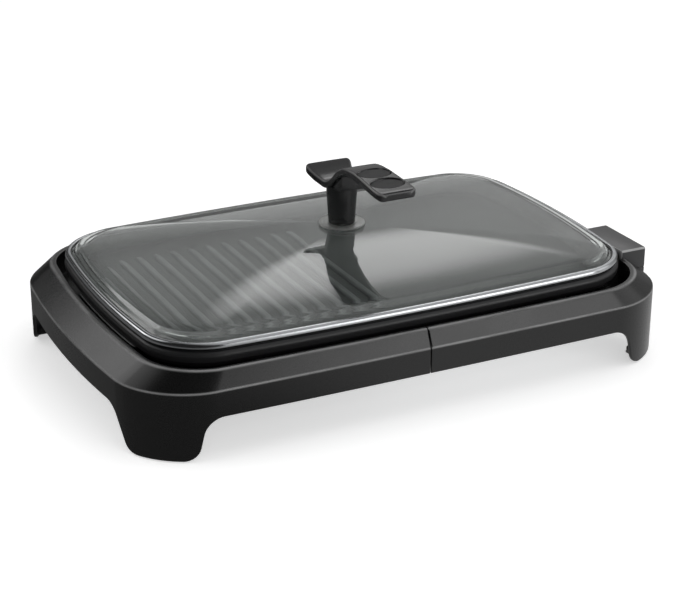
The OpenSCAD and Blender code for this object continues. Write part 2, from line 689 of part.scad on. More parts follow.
module handle_body() {
    color("#2e2e2f") difference() {
        union() {
            loft([for (st = wing) section(st)]);
            translate([0, 0, pillar_z]) rotate_extrude($fn = 64)
                polygon([[0, 0], [pillar_r, 0], [pillar_r + pillar_swell / 2, 16], [pillar_r + pillar_swell, 30],
                    [pillar_r + pillar_swell, pillar_h], [0, pillar_h]]);
            translate([-web_w / 2, 0, pillar_z]) rotate([90, 0, 90]) linear_extrude(web_w)
                polygon([[0, web_h - 3], [web_y, web_h], [web_y, 54], [-6, 42], [0, 38]]);
        }
        translate([0, 0, pillar_z - 1]) cylinder(r = insert_r + 0.03, h = insert_l + 1, $fn = 48);
        translate([0, 0, pillar_z]) cylinder(r = bolt_r + 0.35, h = insert_l + 8, $fn = 32);
        pad_shape(press_gap, 8);
    }
}

module finger_pads() {
    color("#1c1c1d") pad_shape(0, pad_t);
}

base_left();
base_right();
seam_joiners();
joiner_screws();
reflector_pan();
pan_screws();
rubber_feet();
plate_pads();
grill_plate();
heating_element();
element_clamps();
clamp_screws();
contact_pins();
pin_insulators();
terminal_plate();
probe_sleeve();
earth_contact();
socket_upper();
socket_lower();
socket_screws();
lid_glass();
lid_rim();
rim_gasket();
crown_washer();
seal_washer();
handle_body();
finger_pads();
handle_insert();
handle_screw();
screw_cup();
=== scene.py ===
"""Looks for an electric table grill with a lift-off glass lid, built round its CAD frame.

The grill has a moulded base in two halves on four legs, a cast non-stick plate that
lifts out, a terminal socket on the plate's right end, and a domed glass lid with a steel
rim and a winged handle. Sizes in the classes are in millimetres in the row frame; meshes
are in metres.
"""

import logging
import math
from dataclasses import dataclass, field
from enum import Enum
from typing import Callable, Iterable, Sequence

import bmesh
import bpy
from mathutils import Matrix, Vector


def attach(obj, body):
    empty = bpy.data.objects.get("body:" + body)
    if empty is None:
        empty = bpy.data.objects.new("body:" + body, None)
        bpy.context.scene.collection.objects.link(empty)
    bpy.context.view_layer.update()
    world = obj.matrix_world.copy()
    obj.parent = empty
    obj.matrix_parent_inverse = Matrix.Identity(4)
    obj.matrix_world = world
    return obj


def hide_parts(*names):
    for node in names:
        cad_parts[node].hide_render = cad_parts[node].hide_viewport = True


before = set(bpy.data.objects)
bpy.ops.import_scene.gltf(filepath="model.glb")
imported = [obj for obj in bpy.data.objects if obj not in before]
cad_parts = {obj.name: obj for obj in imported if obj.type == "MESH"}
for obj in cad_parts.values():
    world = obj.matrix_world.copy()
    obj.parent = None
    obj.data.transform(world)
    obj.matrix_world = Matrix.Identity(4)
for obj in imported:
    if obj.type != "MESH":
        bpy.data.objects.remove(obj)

MM = 0.001
CREASE = 32.0  # degrees that an edge turns by before it stays sharp
SHARP_TURN = 25.0  # degrees that an edge turns by before it is rounded
ROUNDING_STEPS = 4  # faces across the rounding of a loft's corner
EDGE_STEPS = 3  # faces across a rounded edge
LARGEST_CUT = 0.3  # share of a side that a corner's rounding may take
GUARD = 1.6  # how far out the lines that keep the flats flat lie, in roundings
NARROWEST_CORNER = 5.0  # smallest corner radius of an outline that is drawn in
DRIFT_SIZE = 60.0  # millimetres over which a finish drifts
NOISE_RANGE = (0.6, 1.4)  # most of what the sum of two noises takes up
COAT_ROUGHNESS = 0.1
HIGHLIGHT_GAIN = 2.0  # gain of the painted highlight: noise averages a half, so twice it averages one
SUBJECT = (0.0, 0.0, 0.08)  # metres, what the lamps aim at
FRONT = (4.0, 5.6)  # places from the front left corner to past the front seam
LEFT_END = (3.5, 5.0)  # places from the middle of the left end to past the corner
Line = list[Vector]
Section = Sequence[tuple[float, float]]
Rows = Sequence[tuple[float, float, float]]
log = logging.getLogger("grill")


class Body(Enum):
    """The parts of the grill that move apart."""

    BASE = "base"
    PLATE = "plate"
    LID = "lid"


class Slot(Enum):
    """The record's material slots."""

    BASE_PLASTIC = "base_plastic"
    NONSTICK = "nonstick_aluminium"
    GLASS = "tempered_glass"
    RIM_STEEL = "rim_steel"
    SILICONE = "silicone"
    HANDLE_PLASTIC = "handle_plastic"
    PAD_RUBBER = "pad_rubber"
    SOCKET_PLASTIC = "socket_plastic"


# ---- small helpers ---------------------------------------------------------------------


def linear(colour: str) -> tuple[float, float, float, float]:
    """Turns an sRGB hex colour into linear RGBA.

    Args:
        colour: The colour as "#rrggbb".

    Returns:
        Linear red, green, blue and an alpha of one.
    """
    parts = [int(colour[i : i + 2], 16) / 255 for i in (1, 3, 5)]
    r, g, b = (
        c / 12.92 if c <= 0.04045 else ((c + 0.055) / 1.055) ** 2.4 for c in parts
    )
    return r, g, b, 1.0


def add_node(
    tree: bpy.types.NodeTree, kind: str, inputs: dict | None = None, **settings: object
) -> bpy.types.Node:
    """Adds a node with its settings and links.

    Args:
        tree: The node tree that gets the node.
        kind: The node's type name.
        inputs: Input name or index to a value, or to the output socket to link to it.
        **settings: Properties of the node.

    Returns:
        The new node.
    """
    node = tree.nodes.new(kind)
    for name, value in settings.items():
        setattr(node, name, value)
    for name, value in (inputs or {}).items():
        if isinstance(value, bpy.types.NodeSocket):
            tree.links.new(value, node.inputs[name])
        else:
            node.inputs[name].default_value = value
    return node


def mix(p: float, q: float, share: float) -> float:
    """Returns the value that lies at share of the way from p to q."""
    return p + (q - p) * share


# ---- outlines and lofts ----------------------------------------------------------------


@dataclass(frozen=True)
class Outline:
    """A rounded rectangle whose ends and long sides bow out, in millimetres.

    A place runs from 0 to 8 round it: even units are the corners, starting at +X +Y, and
    odd units are the back, left, front and right sides.
    """

    half_length: float
    half_depth: float
    corner: float
    end_bow: float
    side_bow: float

    def point(self, inset: float, place: float, height: float) -> Vector:
        """Finds a point on the outline.

        Args:
            inset: How far the outline is drawn in.
            place: Where the point is round the outline, from 0 to 8.
            height: The point's height.

        Returns:
            The point in metres.
        """
        a, b = self.half_length - inset, self.half_depth - inset
        r = max(self.corner - inset, NARROWEST_CORNER)
        place %= 8.0
        unit = min(int(place), 7)
        part = place - unit
        cx, cy = a - r, b - r
        if unit % 2 == 0:
            angle = math.radians(45 * unit + 90 * part)
            sx = 1 if unit in (0, 6) else -1
            sy = 1 if unit in (0, 2) else -1
            x, y = sx * cx + r * math.cos(angle), sy * cy + r * math.sin(angle)
        elif unit in (1, 5):
            side = 1 if unit == 1 else -1
            x, y = side * cx * (1 - 2 * part), side * b
        else:
            side = -1 if unit == 3 else 1
            x, y = side * a, side * cy * (2 * part - 1)
        bowed_x = x * (1 + self.end_bow / a * (1 - (y / b) ** 2))
        bowed_y = y * (1 + self.side_bow / b * (1 - (x / a) ** 2))
        return Vector((bowed_x, bowed_y, height)) * MM


@dataclass(frozen=True)
class Ring:
    """One line of a loft: an outline, how far it is drawn in, its height and its rounding."""

    outline: Outline
    inset: float
    height: float
    cut: float = 0.0
    scale: float = 1.0

    def line(self, places: Sequence[float]) -> Line:
        """Returns the ring's points at these places.

        Args:
            places: Where the points are round the outline, from 0 to 8.

        Returns:
            The points in metres.
        """
        found = [self.outline.point(self.inset, p, self.height) for p in places]
        if self.scale == 1.0:
            return found
        return [Vector((v.x * self.scale, v.y * self.scale, v.z)) for v in found]


def all_round(corner_steps: int, side_steps: int, end_steps: int) -> list[float]:
    """Spreads places round a whole outline.

    Args:
        corner_steps: Steps in each corner.
        side_steps: Steps along each long side.
        end_steps: Steps along each end.

    Returns:
        The places, in order.
    """
    places: list[float] = []
    for unit in range(8):
        steps = (
            corner_steps if unit % 2 == 0 else side_steps if unit in (1, 5) else end_steps
        )
        places += [unit + k / steps for k in range(steps)]
    return places


def soften(lines: Sequence[Line], cuts: Sequence[float], closed: bool) -> list[Line]:
    """Rounds a section's corners, and adds lines beside them that keep the flats flat.

    Args:
        lines: The lines of the loft, each a corner of the section.
        cuts: For each line, how far from the corner the rounding starts, in millimetres.
        closed: Whether the last line joins the first.

    Returns:
        The lines with each rounded corner replaced by several.
    """
    steps, count = ROUNDING_STEPS, len(lines)
    result: list[Line] = []
    for k, line in enumerate(lines):
        if cuts[k] <= 0 or (not closed and k in (0, count - 1)):
            result.append(line)
            continue
        before, after = lines[k - 1], lines[(k + 1) % count]
        fan: list[Line] = [[] for _ in range(steps + 3)]
        for here, p, q in zip(line, before, after):
            back, on = p - here, q - here
            cut = min(cuts[k] * MM, LARGEST_CUT * back.length, LARGEST_CUT * on.length)
            a, b = here + back.normalized() * cut, here + on.normalized() * cut
            fan[0].append(here + back.normalized() * cut * GUARD)
            fan[-1].append(here + on.normalized() * cut * GUARD)
            for s in range(steps + 1):
                t = s / steps
                fan[s + 1].append(a * (1 - t) ** 2 + here * (2 * t * (1 - t)) + b * t**2)
        result += fan
    return result


def skin(
    lines: Sequence[Line], around: bool = True, closed: bool = False, capped: bool = False
) -> bmesh.types.BMesh:
    """Joins lines of equal count with quads.

    Args:
        lines: The lines.
        around: Whether each line's last point joins its first.
        closed: Whether the last line joins the first.
        capped: Whether the first and the last line get a face.

    Returns:
        The mesh.
    """
    mesh = bmesh.new()
    grid = [[mesh.verts.new(p) for p in line] for line in lines]
    count = len(lines[0])
    for j in range(len(grid) if closed else len(grid) - 1):
        low, high = grid[j], grid[(j + 1) % len(grid)]
        for i in range(count if around else count - 1):
            n = (i + 1) % count
            mesh.faces.new((low[i], low[n], high[n], high[i]))
    if capped:
        mesh.faces.new(list(reversed(grid[0])))
        mesh.faces.new(grid[-1])
    bmesh.ops.recalc_face_normals(mesh, faces=mesh.faces[:])
    return mesh


def loft(
    rings: Sequence[Ring], places: Sequence[float], closed: bool = False
) -> list[Line]:
    """Returns the softened lines of a loft through rings.

    Args:
        rings: The rings, each a corner of the section.
        places: Where the points are round the outline, from 0 to 8.
        closed: Whether the last ring joins the first.

    Returns:
        The lines, with the rings' roundings.
    """
    return soften([r.line(places) for r in rings], [r.cut for r in rings], closed)


def make_piece(
    name: str, meshes: Iterable[bmesh.types.BMesh], crease: float = CREASE
) -> bpy.types.Object:
    """Makes one object from meshes, smooth but for its sharp edges.

    Args:
        name: The object's name.
        meshes: The meshes that it is made of, which are freed.
        crease: Edges that turn by more than this many degrees stay sharp.

    Returns:
        The new object, linked to the scene.
    """
    data = bpy.data.meshes.new(name)
    whole = bmesh.new()
    for mesh in meshes:
        part = bpy.data.meshes.new("part")
        mesh.to_mesh(part)
        mesh.free()
        whole.from_mesh(part)
        bpy.data.meshes.remove(part)
    whole.to_mesh(data)
    whole.free()
    data.shade_smooth()
    data.set_sharp_from_angle(angle=math.radians(crease))
    piece = bpy.data.objects.new(name, data)
    bpy.context.scene.collection.objects.link(piece)
    return piece


def turned(
    profile: Section,
    centre: tuple[float, float, float] = (0.0, 0.0, 0.0),
    segments: int = 64,
    hollow: bool = False,
) -> bmesh.types.BMesh:
    """Turns a profile of (radius, height) in millimetres about an upright axis.

    Args:
        profile: The profile's points, from the bottom up.
        centre: Where the axis stands, in millimetres.
        segments: Faces round the axis.
        hollow: Whether the profile's last point joins its first, with no end faces.

    Returns:
        The mesh.
    """
    lines = []
    for radius, height in profile:
        ring = []
        for k in range(segments):
            angle = 2 * math.pi * k / segments
            v = Vector((radius * math.cos(angle), radius * math.sin(angle), height))
            ring.append((v + Vector(centre)) * MM)
        lines.append(ring)
    return skin(lines, closed=hollow, capped=not hollow)


def slab(points: Rows, sweep: Vector) -> bmesh.types.BMesh:
    """Sweeps a flat face along a vector.

    Args:
        points: The face's corners in millimetres.
        sweep: How far and where to, in millimetres.

    Returns:
        The mesh.
    """
    first = [Vector(p) * MM for p in points]
    return skin([first, [p + sweep * MM for p in first]], capped=True)


def rounded_edges(mesh: bmesh.types.BMesh, width: float) -> bmesh.types.BMesh:
    """Rounds every edge of a mesh that turns by more than SHARP_TURN.

    Args:
        mesh: The mesh.
        width: The rounding's width in millimetres.

    Returns:
        The same mesh.
    """
    turn = math.radians(SHARP_TURN)
    edges = [
        e for e in mesh.edges if len(e.link_faces) == 2 and e.calc_face_angle(0.0) > turn
    ]
    bmesh.ops.bevel(
        mesh, geom=edges, offset=width * MM, segments=EDGE_STEPS,
        profile=0.5, affect="EDGES", clamp_overlap=True,
    )
    return mesh


def cut_away(piece: bpy.types.Object, cutter: bpy.types.Object) -> None:
    """Cuts one object out of another and removes the cutter.

    Args:
        piece: The object that is cut.
        cutter: The object that is taken out of it.
    """
    step = piece.modifiers.new("cut", "BOOLEAN")
    step.operation, step.object, step.solver = "DIFFERENCE", cutter, "EXACT"
    graph = bpy.context.evaluated_depsgraph_get()
    result = bpy.data.meshes.new_from_object(piece.evaluated_get(graph))
    piece.modifiers.clear()
    piece.data = result
    bpy.data.objects.remove(cutter)
    result.shade_smooth()
    result.set_sharp_from_angle(angle=math.radians(CREASE))


def mark_painted_highlight(
    mesh: bmesh.types.BMesh, share: Callable[[int, bmesh.types.BMVert], float]
) -> None:
    """Notes how much of a finish's painted highlight each vertex takes.

    Args:
        mesh: The mesh.
        share: Gives a vertex's share of that painted highlight, from its number and itself.
    """
    layer = mesh.verts.layers.float.new("painted_highlight")
    for number, vert in enumerate(mesh.verts):
        vert[layer] = share(number, vert)


# ---- finishes --------------------------------------------------------------------------


def start_material(name: str) -> tuple[bpy.types.Material, bpy.types.Node]:
    """Makes an empty material with one Principled shader.

    Args:
        name: The material's name.

    Returns:
        The material and its shader.
    """
    material = bpy.data.materials.new(name)
    material.use_nodes = True
    tree = material.node_tree
    tree.nodes.clear()
    shader = add_node(tree, "ShaderNodeBsdfPrincipled")
    add_node(tree, "ShaderNodeOutputMaterial", {"Surface": shader.outputs[0]})
    return material, shader


@dataclass(frozen=True)
class Grain:
    """A fine surface pattern that breaks up colour, gloss and relief."""

    size: float  # millimetres from one grain to the next
    relief: float  # millimetres from hollow to crest
    gloss_spread: float  # how far roughness strays to each side
    tone_spread: float = 0.06  # share that the colour strays


@dataclass(frozen=True)
class Finish:
    """A surface made of one real material."""

    name: str
    colour: str
    roughness: float
    grain: Grain
    metallic: float = 0.0
    ior: float = 1.5
    coat: float = 0.0
    painted_highlight: str = ""  # painted highlight: a paler tone on eased edges and crests, where it has any

    def material(self) -> bpy.types.Material:
        """Builds the material.

        Returns:
            The new material.
        """
        material, shader = start_material(self.name)
        tree, grain = material.node_tree, self.grain
        place = add_node(tree, "ShaderNodeTexCoord").outputs["Object"]
        per_metre = [1.0 / (grain.size * MM)] * 3
        across = add_node(tree, "ShaderNodeMapping", {"Vector": place, "Scale": per_metre})
        fine = add_node(
            tree, "ShaderNodeTexNoise", {"Vector": across.outputs[0], "Scale": 1.0, "Detail": 2.0}
        ).outputs["Fac"]
        # slow drift, as left by the flow of the melt or by wiping
        drift = add_node(
            tree, "ShaderNodeTexNoise",
            {"Vector": place, "Scale": 1 / (DRIFT_SIZE * MM), "Detail": 3.0},
        ).outputs["Fac"]
        both = add_node(tree, "ShaderNodeMath", {0: fine, 1: drift}, operation="ADD").outputs[0]
        spread, (least, most) = grain.gloss_spread, NOISE_RANGE
        gloss = add_node(
            tree, "ShaderNodeMapRange",
            {"Value": both, "From Min": least, "From Max": most,
             "To Min": max(self.roughness - spread, 0.02), "To Max": self.roughness + spread},
        ).outputs[0]
        base = linear(self.colour)[:3]
        low = [c * (1 - grain.tone_spread) for c in base] + [1.0]
        high = [c * (1 + grain.tone_spread) for c in base] + [1.0]
        tone = add_node(
            tree, "ShaderNodeMix", {0: both, 6: low, 7: high}, data_type="RGBA", clamp_factor=True
        ).outputs[2]
        bump = add_node(
            tree, "ShaderNodeBump",
            {"Height": fine, "Strength": 1.0, "Distance": grain.relief * MM},
        ).outputs[0]
        # painted highlight: the marked edges and crests turn towards a paler tone, patchy with
        # the drift
        if self.painted_highlight:
            pale = add_node(tree, "ShaderNodeAttribute", attribute_name="painted_highlight").outputs["Fac"]
            for factor in (drift, HIGHLIGHT_GAIN):
                pale = add_node(
                    tree, "ShaderNodeMath", {0: pale, 1: factor}, operation="MULTIPLY"
                ).outputs[0]
            tone = add_node(
                tree, "ShaderNodeMix", {0: pale, 6: tone, 7: linear(self.painted_highlight)},
                data_type="RGBA", clamp_factor=True,
            ).outputs[2]
        for name, socket in (("Base Color", tone), ("Roughness", gloss), ("Normal", bump)):
            tree.links.new(socket, shader.inputs[name])
        for name, value in (
            ("Metallic", self.metallic), ("IOR", self.ior),
            ("Coat Weight", self.coat), ("Coat Roughness", COAT_ROUGHNESS),
        ):
            shader.inputs[name].default_value = value
        return material


@dataclass(frozen=True)
class ClearFinish:
    """A clear or cloudy material that light passes through."""

    name: str
    colour: str
    roughness: float
    ior: float
    clear: float  # share of the light that passes rather than scatters

    def material(self) -> bpy.types.Material:
        """Builds the material, which lets the lamps' light through, tinted by its colour.

        Returns:
            The new material.
        """
        material, shader = start_material(self.name)
        tree, tint = material.node_tree, linear(self.colour)
        for name, value in (
            ("Base Color", tint), ("Roughness", self.roughness), ("IOR", self.ior),
            ("Transmission Weight", self.clear),
        ):
            shader.inputs[name].default_value = value
        see = add_node(tree, "ShaderNodeBsdfTransparent", {"Color": tint})
        shadow = add_node(tree, "ShaderNodeLightPath").outputs["Is Shadow Ray"]
        both = add_node(
            tree, "ShaderNodeMixShader", {0: shadow, 1: shader.outputs[0], 2: see.outputs[0]}
        )
        output = next(n for n in tree.nodes if n.type == "OUTPUT_MATERIAL")
        tree.links.new(both.outputs[0], output.inputs["Surface"])
        return material


# Polypropylene moulded against a finely spark-eroded steel tool: a satin black whose
# highlights are broad and soft, with no visible grain beyond arm's length.
MOULDED_BASE = Finish(
    "moulded satin polypropylene", "#101010", 0.28, Grain(0.45, 0.004, 0.04),
    # painted highlight along the crease and the lip's edge
    painted_highlight="#828282",
)
# Heat-proof glass-filled nylon, moulded and lightly polished: deep black, clearer gloss.
MOULDED_HANDLE = Finish(
    "moulded glass-filled nylon", "#131314", 0.24, Grain(0.4, 0.003, 0.04),
    # painted highlight on the wing's upper eased edges
    painted_highlight="#6e6e6e",
)
# Thermoplastic elastomer pressed into the handle's hollows: matt, with a slight bloom.
SOFT_PAD = Finish("moulded elastomer", "#171718", 0.6, Grain(0.6, 0.012, 0.05))
# Phenolic moulding compound of the terminal block: matt grey-black with a dusty grain.
MOULDED_SOCKET = Finish(
    "moulded phenolic housing", "#343435", 0.36, Grain(0.4, 0.006, 0.05),
    # painted highlight on the hood's upper chamfers
    painted_highlight="#b4b4b4",
)
# PTFE sprayed and baked on cast aluminium: dark grey satin, almost without relief, with
# pigment specks about a millimetre apart.
NONSTICK = Finish(
    "sprayed non-stick coating", "#212122", 0.4, Grain(0.9, 0.0015, 0.03, 0.06),
    # painted highlight on the tops of the sear ribs
    painted_highlight="#626364",
)
# Austenitic stainless strip, rolled and buffed: a bright, slightly soft mirror.
BUFFED_STEEL = Finish(
    "buffed stainless steel", "#b9bbbd", 0.22, Grain(0.5, 0.0008, 0.04, 0.03), 1.0
)
# Aluminised sheet steel, pressed: grey, with a soft spangle about 8 mm across.
ALUMINISED = Finish(
    "pressed aluminised steel", "#a6a8a9", 0.38, Grain(8.0, 0.01, 0.1, 0.1), 1.0
)
# Zinc-plated screws and straps: pale, slightly cloudy passivation.
ZINC = Finish("zinc-plated steel", "#b4b7ba", 0.32, Grain(1.5, 0.003, 0.08, 0.08), 1.0)
# Nickel-plated brass contacts, turned: warm and bright.
CONTACT = Finish("turned plated brass", "#cdb98c", 0.22, Grain(0.3, 0.002, 0.05), 1.0)
# Sheathed element annealed in air: a dull oxide skin, uneven along its length.
SHEATH = Finish("oxidised element sheath", "#6f6c69", 0.5, Grain(4.0, 0.01, 0.12, 0.2), 1.0)
# Glazed steatite bushes: off-white and glossy over a faint grain.
STEATITE = Finish("glazed steatite", "#e2dccf", 0.2, Grain(0.8, 0.004, 0.04), coat=0.5)
# Phenolic laminate buttons and terminal plate: brown, with pressed fibres.
PHENOLIC = Finish("pressed phenolic", "#4b2a20", 0.45, Grain(0.7, 0.01, 0.08, 0.15))
# Nitrile feet, compression moulded: matt black with a dusty bloom.
NITRILE = Finish("moulded nitrile rubber", "#161616", 0.75, Grain(0.8, 0.02, 0.06, 0.12))
# Soda-lime glass, bent and tempered: almost clear, faintly grey through its edge.
TEMPERED = ClearFinish("tempered soda-lime glass", "#e6eae8", 0.0, 1.5, 1.0)
# Black silicone cord pressed between the steel and the glass: a thin matt dark line.
GASKET = Finish("pressed black silicone", "#141414", 0.55, Grain(0.5, 0.004, 0.05))
# Translucent silicone washers: cloudy, with a soft sheen.
SILICONE = ClearFinish("moulded silicone", "#d3d4d2", 0.3, 1.41, 0.92)


# ---- sub-assemblies --------------------------------------------------------------------


def dress(
    piece: bpy.types.Object,
    body: Body,
    slot: Slot,
    finish: Finish | ClearFinish,
    *nodes: str,
) -> bpy.types.Object:
    """Gives a new piece its finish, its body and the CAD nodes that it stands for.

    Args:
        piece: The new piece.
        body: The body that it rides on.
        slot: The record's material slot; not used.
        finish: The finish.
        *nodes: The CAD nodes that it replaces.

    Returns:
        The same piece.
    """
    piece.data.materials.clear()
    piece.data.materials.append(finish_material(finish))
    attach(piece, body.value)
    if nodes:
        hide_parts(*nodes)
    log.info("%s: %d faces, rides on %s", piece.name, len(piece.data.polygons), body.value)
    return piece


_made: dict[str, bpy.types.Material] = {}


def finish_material(finish: Finish | ClearFinish) -> bpy.types.Material:
    """Returns the finish's material, built once.

    Args:
        finish: The finish.

    Returns:
        The material.
    """
    if finish.name not in _made:
        _made[finish.name] = finish.material()
    return _made[finish.name]


@dataclass
class BaseFrame:
    """The moulded base: two halves that meet at the middle, each with two legs."""

    foot: Outline = Outline(260.0, 172.9, 60.3, 15.7, 2.6)
    lip: Outline = Outline(240.0, 165.3, 50.0, 13.5, 3.0)
    crease_z: float = 63.3
    lip_z: float = 79.5
    skirt_z: float = 39.0
    leg_z: float = 1.0
    wall: float = 3.0
    seam_gap: float = 1.2
    seam_eases: tuple[float, float] = (0.4, 0.12)  # how far the last two columns draw in
    lip_w: float = 5.0
    shelf_z: float = 57.0
    shelf_t: float = 3.0
    shelf_w: float = 24.0
    front_fillet: tuple[float, float] = (194.0, 18.8)
    front_toe: tuple[float, float] = (230.0, 15.5)
    end_fillet: tuple[float, float] = (97.0, 21.5)
    end_toe: tuple[float, float] = (138.5, 14.5)
    edge_r: float = 1.1  # rounding of the skirt's and legs' lower edge
    edge_flat: float = 0.6  # flat band above that rounding
    crease_band: float = 3.4  # flat band below the crease
    sole_t: float = 1.7
    sole_reach: float = 20.0  # how far the soles reach in from the legs' outer corners
    sole_bevel: tuple[float, float] = (14.0, 26.0)  # where their inner corners are cut off
    boss_x: tuple[float, float] = (70.0, 175.0)
    boss_y: float = 152.5
    boss: Section = (
        (4.5, 0.0), (4.5, 5.0), (4.2, 5.7), (3.6, 6.0), (2.2, 6.0), (2.0, 5.6), (2.0, 2.0),
    )  # radius, and height over the boss's foot
    notch_x: float = 191.0
    notch_y: tuple[float, float] = (-106.2, -35.8)
    notch_z: float = 48.8
    lining_x: tuple[float, float, float] = (193.0, 262.0, 270.0)  # start, sides' end, floor's
    lining_t: float = 2.0
    lining_high: float = 6.4
    painted_highlight_lines: tuple[int, int] = (14, 21)  # where the painted highlights on the crease and the lip start

    def arch(
        self, fillet: tuple[float, float], toe: tuple[float, float]
    ) -> list[tuple[float, float]]:
        """Finds one side of the opening between two legs.

        Args:
            fillet: Where the skirt starts to turn down, and the radius there.
            toe: Where the leg's lower corner becomes flat, and its radius.

        Returns:
            Points of (distance from the middle, height), from the skirt to the flat sole.
        """
        c1 = Vector((fillet[0], self.skirt_z - fillet[1]))
        c2 = Vector((toe[0], self.leg_z + toe[1]))
        d = c2 - c1
        lean = math.atan2(d.y, d.x) + math.acos((fillet[1] + toe[1]) / d.length)
        steps = 14
        points = []
        for centre, radius, start, end in (
            (c1, fillet[1], math.pi / 2, lean),
            (c2, toe[1], math.pi + lean, 1.5 * math.pi),
        ):
            for k in range(steps + 1):
                t = mix(start, end, k / steps)
                points.append((centre.x + radius * math.cos(t), centre.y + radius * math.sin(t)))
        return points

    def find(self, axis: int, value: float, low: float, high: float) -> float:
        """Finds the place between low and high where the foot outline's coordinate is value.

        Args:
            axis: 0 for X, 1 for Y.
            value: The coordinate in millimetres.
            low: One end of the search.
            high: The other end.

        Returns:
            The place.
        """
        for _ in range(50):
            middle = (low + high) / 2
            at = self.foot.point(0.0, middle, 0.0)[axis] / MM
            at_low = self.foot.point(0.0, low, 0.0)[axis] / MM
            if (at - value) * (at_low - value) > 0:
                low = middle
            else:
                high = middle
        return (low + high) / 2

    def lower_edge(self) -> list[tuple[float, float]]:
        """Walks the left half's lower edge from the front seam to the middle of the end.

        Returns:
            Pairs of (place, height).
        """
        seam = self.seam_gap / 2
        edge = []
        for x in (seam, seam + 0.12, seam + 0.4, seam + 1.2, seam + 4):
            edge.append((self.find(0, -x, 5.4, 5.6), self.skirt_z))
        start = self.front_fillet[0]
        for k in range(1, 24):
            edge.append((self.find(0, -mix(seam + 4, start, k / 24), 4.5, 5.6), self.skirt_z))
        for x, z in self.arch(self.front_fillet, self.front_toe):
            edge.append((self.find(0, -x, *FRONT), z))
        turn = self.find(1, -self.end_toe[0], *LEFT_END)
        last = edge[-1][0]
        edge += [(mix(last, turn, k / 16), self.leg_z) for k in range(1, 16)]
        for y, z in reversed(self.arch(self.end_fillet, self.end_toe)):
            edge.append((self.find(1, -y, *LEFT_END), z))
        for k in range(1, 13):
            y = mix(self.end_fillet[0], 0.0, k / 12)
            edge.append((self.find(1, -y, 3.4, 4.6), self.skirt_z))
        return edge

    def half_lines(self) -> list[Line]:
        """Builds the section lines of the left half, each from the front seam to the back.

        Returns:
            The lines of a closed section.
        """
        quarter = self.lower_edge()
        edge = quarter + [(7.0 - p, z) for p, z in reversed(quarter[:-1])]
        places = [p for p, _ in edge]
        along = [0.0]
        for p, q in zip(places, places[1:]):
            step = self.foot.point(0, q, 0) - self.foot.point(0, p, 0)
            along.append(along[-1] + step.length / MM)

        def place_at(distance: float) -> float:
            """Returns the place at a distance along the edge.

            Args:
                distance: How far along the edge, in millimetres.

            Returns:
                The place, from 0 to 8.
            """
            distance = min(max(distance, 0.0), along[-1])
            k = next((i for i in range(1, len(along)) if along[i] >= distance), len(along) - 1)
            share = (distance - along[k - 1]) / max(along[k] - along[k - 1], 1e-9)
            return mix(places[k - 1], places[k], share)

        normals = []
        for i in range(len(edge)):
            a, b = max(i - 1, 0), min(i + 1, len(edge) - 1)
            ds, dz = along[b] - along[a], edge[b][1] - edge[a][1]
            size = math.hypot(ds, dz)
            normals.append((-dz / size, ds / size))

        def edge_line(offset: float, inset: float) -> Line:
            """Returns the line at an offset from the lower edge, up the wall.

            Args:
                offset: How far up the wall, square to the edge.
                inset: How far the wall is drawn in.

            Returns:
                The line's points.
            """
            line = []
            for i, (_, z) in enumerate(edge):
                p = place_at(along[i] + offset * normals[i][0])
                line.append(self.foot.point(inset, p, z + offset * normals[i][1]))
            return line

        r, flat, band_z = self.edge_r, self.edge_flat, self.crease_z - self.crease_band
        lines = []
        for k in range(6):
            t = math.radians(18 * k)
            lines.append(edge_line(r * (1 - math.cos(t)), r * (1 - math.sin(t))))
        lines.append(edge_line(r + flat, 0.0))
        first = lines[-1]
        for share in (0.06, 0.2, 0.4, 0.6, 0.8):
            line = []
            for i in range(len(places)):
                s = mix(along[i] + (r + flat) * normals[i][0], along[i], share)
                z = mix(first[i].z / MM, band_z, share)
                line.append(self.foot.point(0, place_at(s), z))
            lines.append(line)
        lip, wide, wall, under = self.lip, self.lip_w, self.wall, self.shelf_z - self.shelf_t
        lines += loft(
            [
                Ring(self.foot, 0, band_z),
                Ring(self.foot, 0, self.crease_z, 1.9),
                Ring(lip, 0, self.lip_z, 1.7),
                Ring(lip, wide, self.lip_z, 0.9),
                Ring(lip, wide, self.shelf_z, 1.0),
                Ring(lip, wide + self.shelf_w, self.shelf_z, 0.8),
                Ring(lip, wide + self.shelf_w, under, 0.8),
                Ring(lip, wide - wall, under),
                Ring(lip, wide - wall, self.lip_z - wall - 0.5),
                Ring(self.foot, wall, self.crease_z - wall / 2),
            ],
            places,
        )
        lines.append(edge_line(0.5, self.wall))
        lines.append(edge_line(0.0, self.wall - 0.5))
        return self.ease_seams(lines)

    def ease_seams(self, lines: list[Line]) -> list[Line]:
        """Draws the section in by a hair at both seams, so that their edges are rounded.

        Args:
            lines: The section lines.

        Returns:
            The same lines, changed.
        """
        count, width, (most, least) = len(lines), len(lines[0]), self.seam_eases
        for column, depth in ((0, most), (1, least), (width - 1, most), (width - 2, least)):
            original = [line[column].copy() for line in lines]
            side = 1 if column < 2 else -1
            for j in range(count):
                t = original[(j + 1) % count] - original[j - 1]
                inward = Vector((0, t.z, -t.y)) * side
                if inward.length > 1e-9:
                    lines[j][column] = original[j] + inward.normalized() * depth * MM
        return lines

    def half_mesh(self, side: int) -> bmesh.types.BMesh:
        """Builds one half.

        Args:
            side: -1 for the left half, 1 for the right.

        Returns:
            The mesh, closed at both seams.
        """
        lines = self.half_lines()
        if side > 0:
            lines = [[Vector((-v.x, v.y, v.z)) for v in line] for line in lines]
        mesh = skin(lines, around=False, closed=True)
        width = len(lines[0])
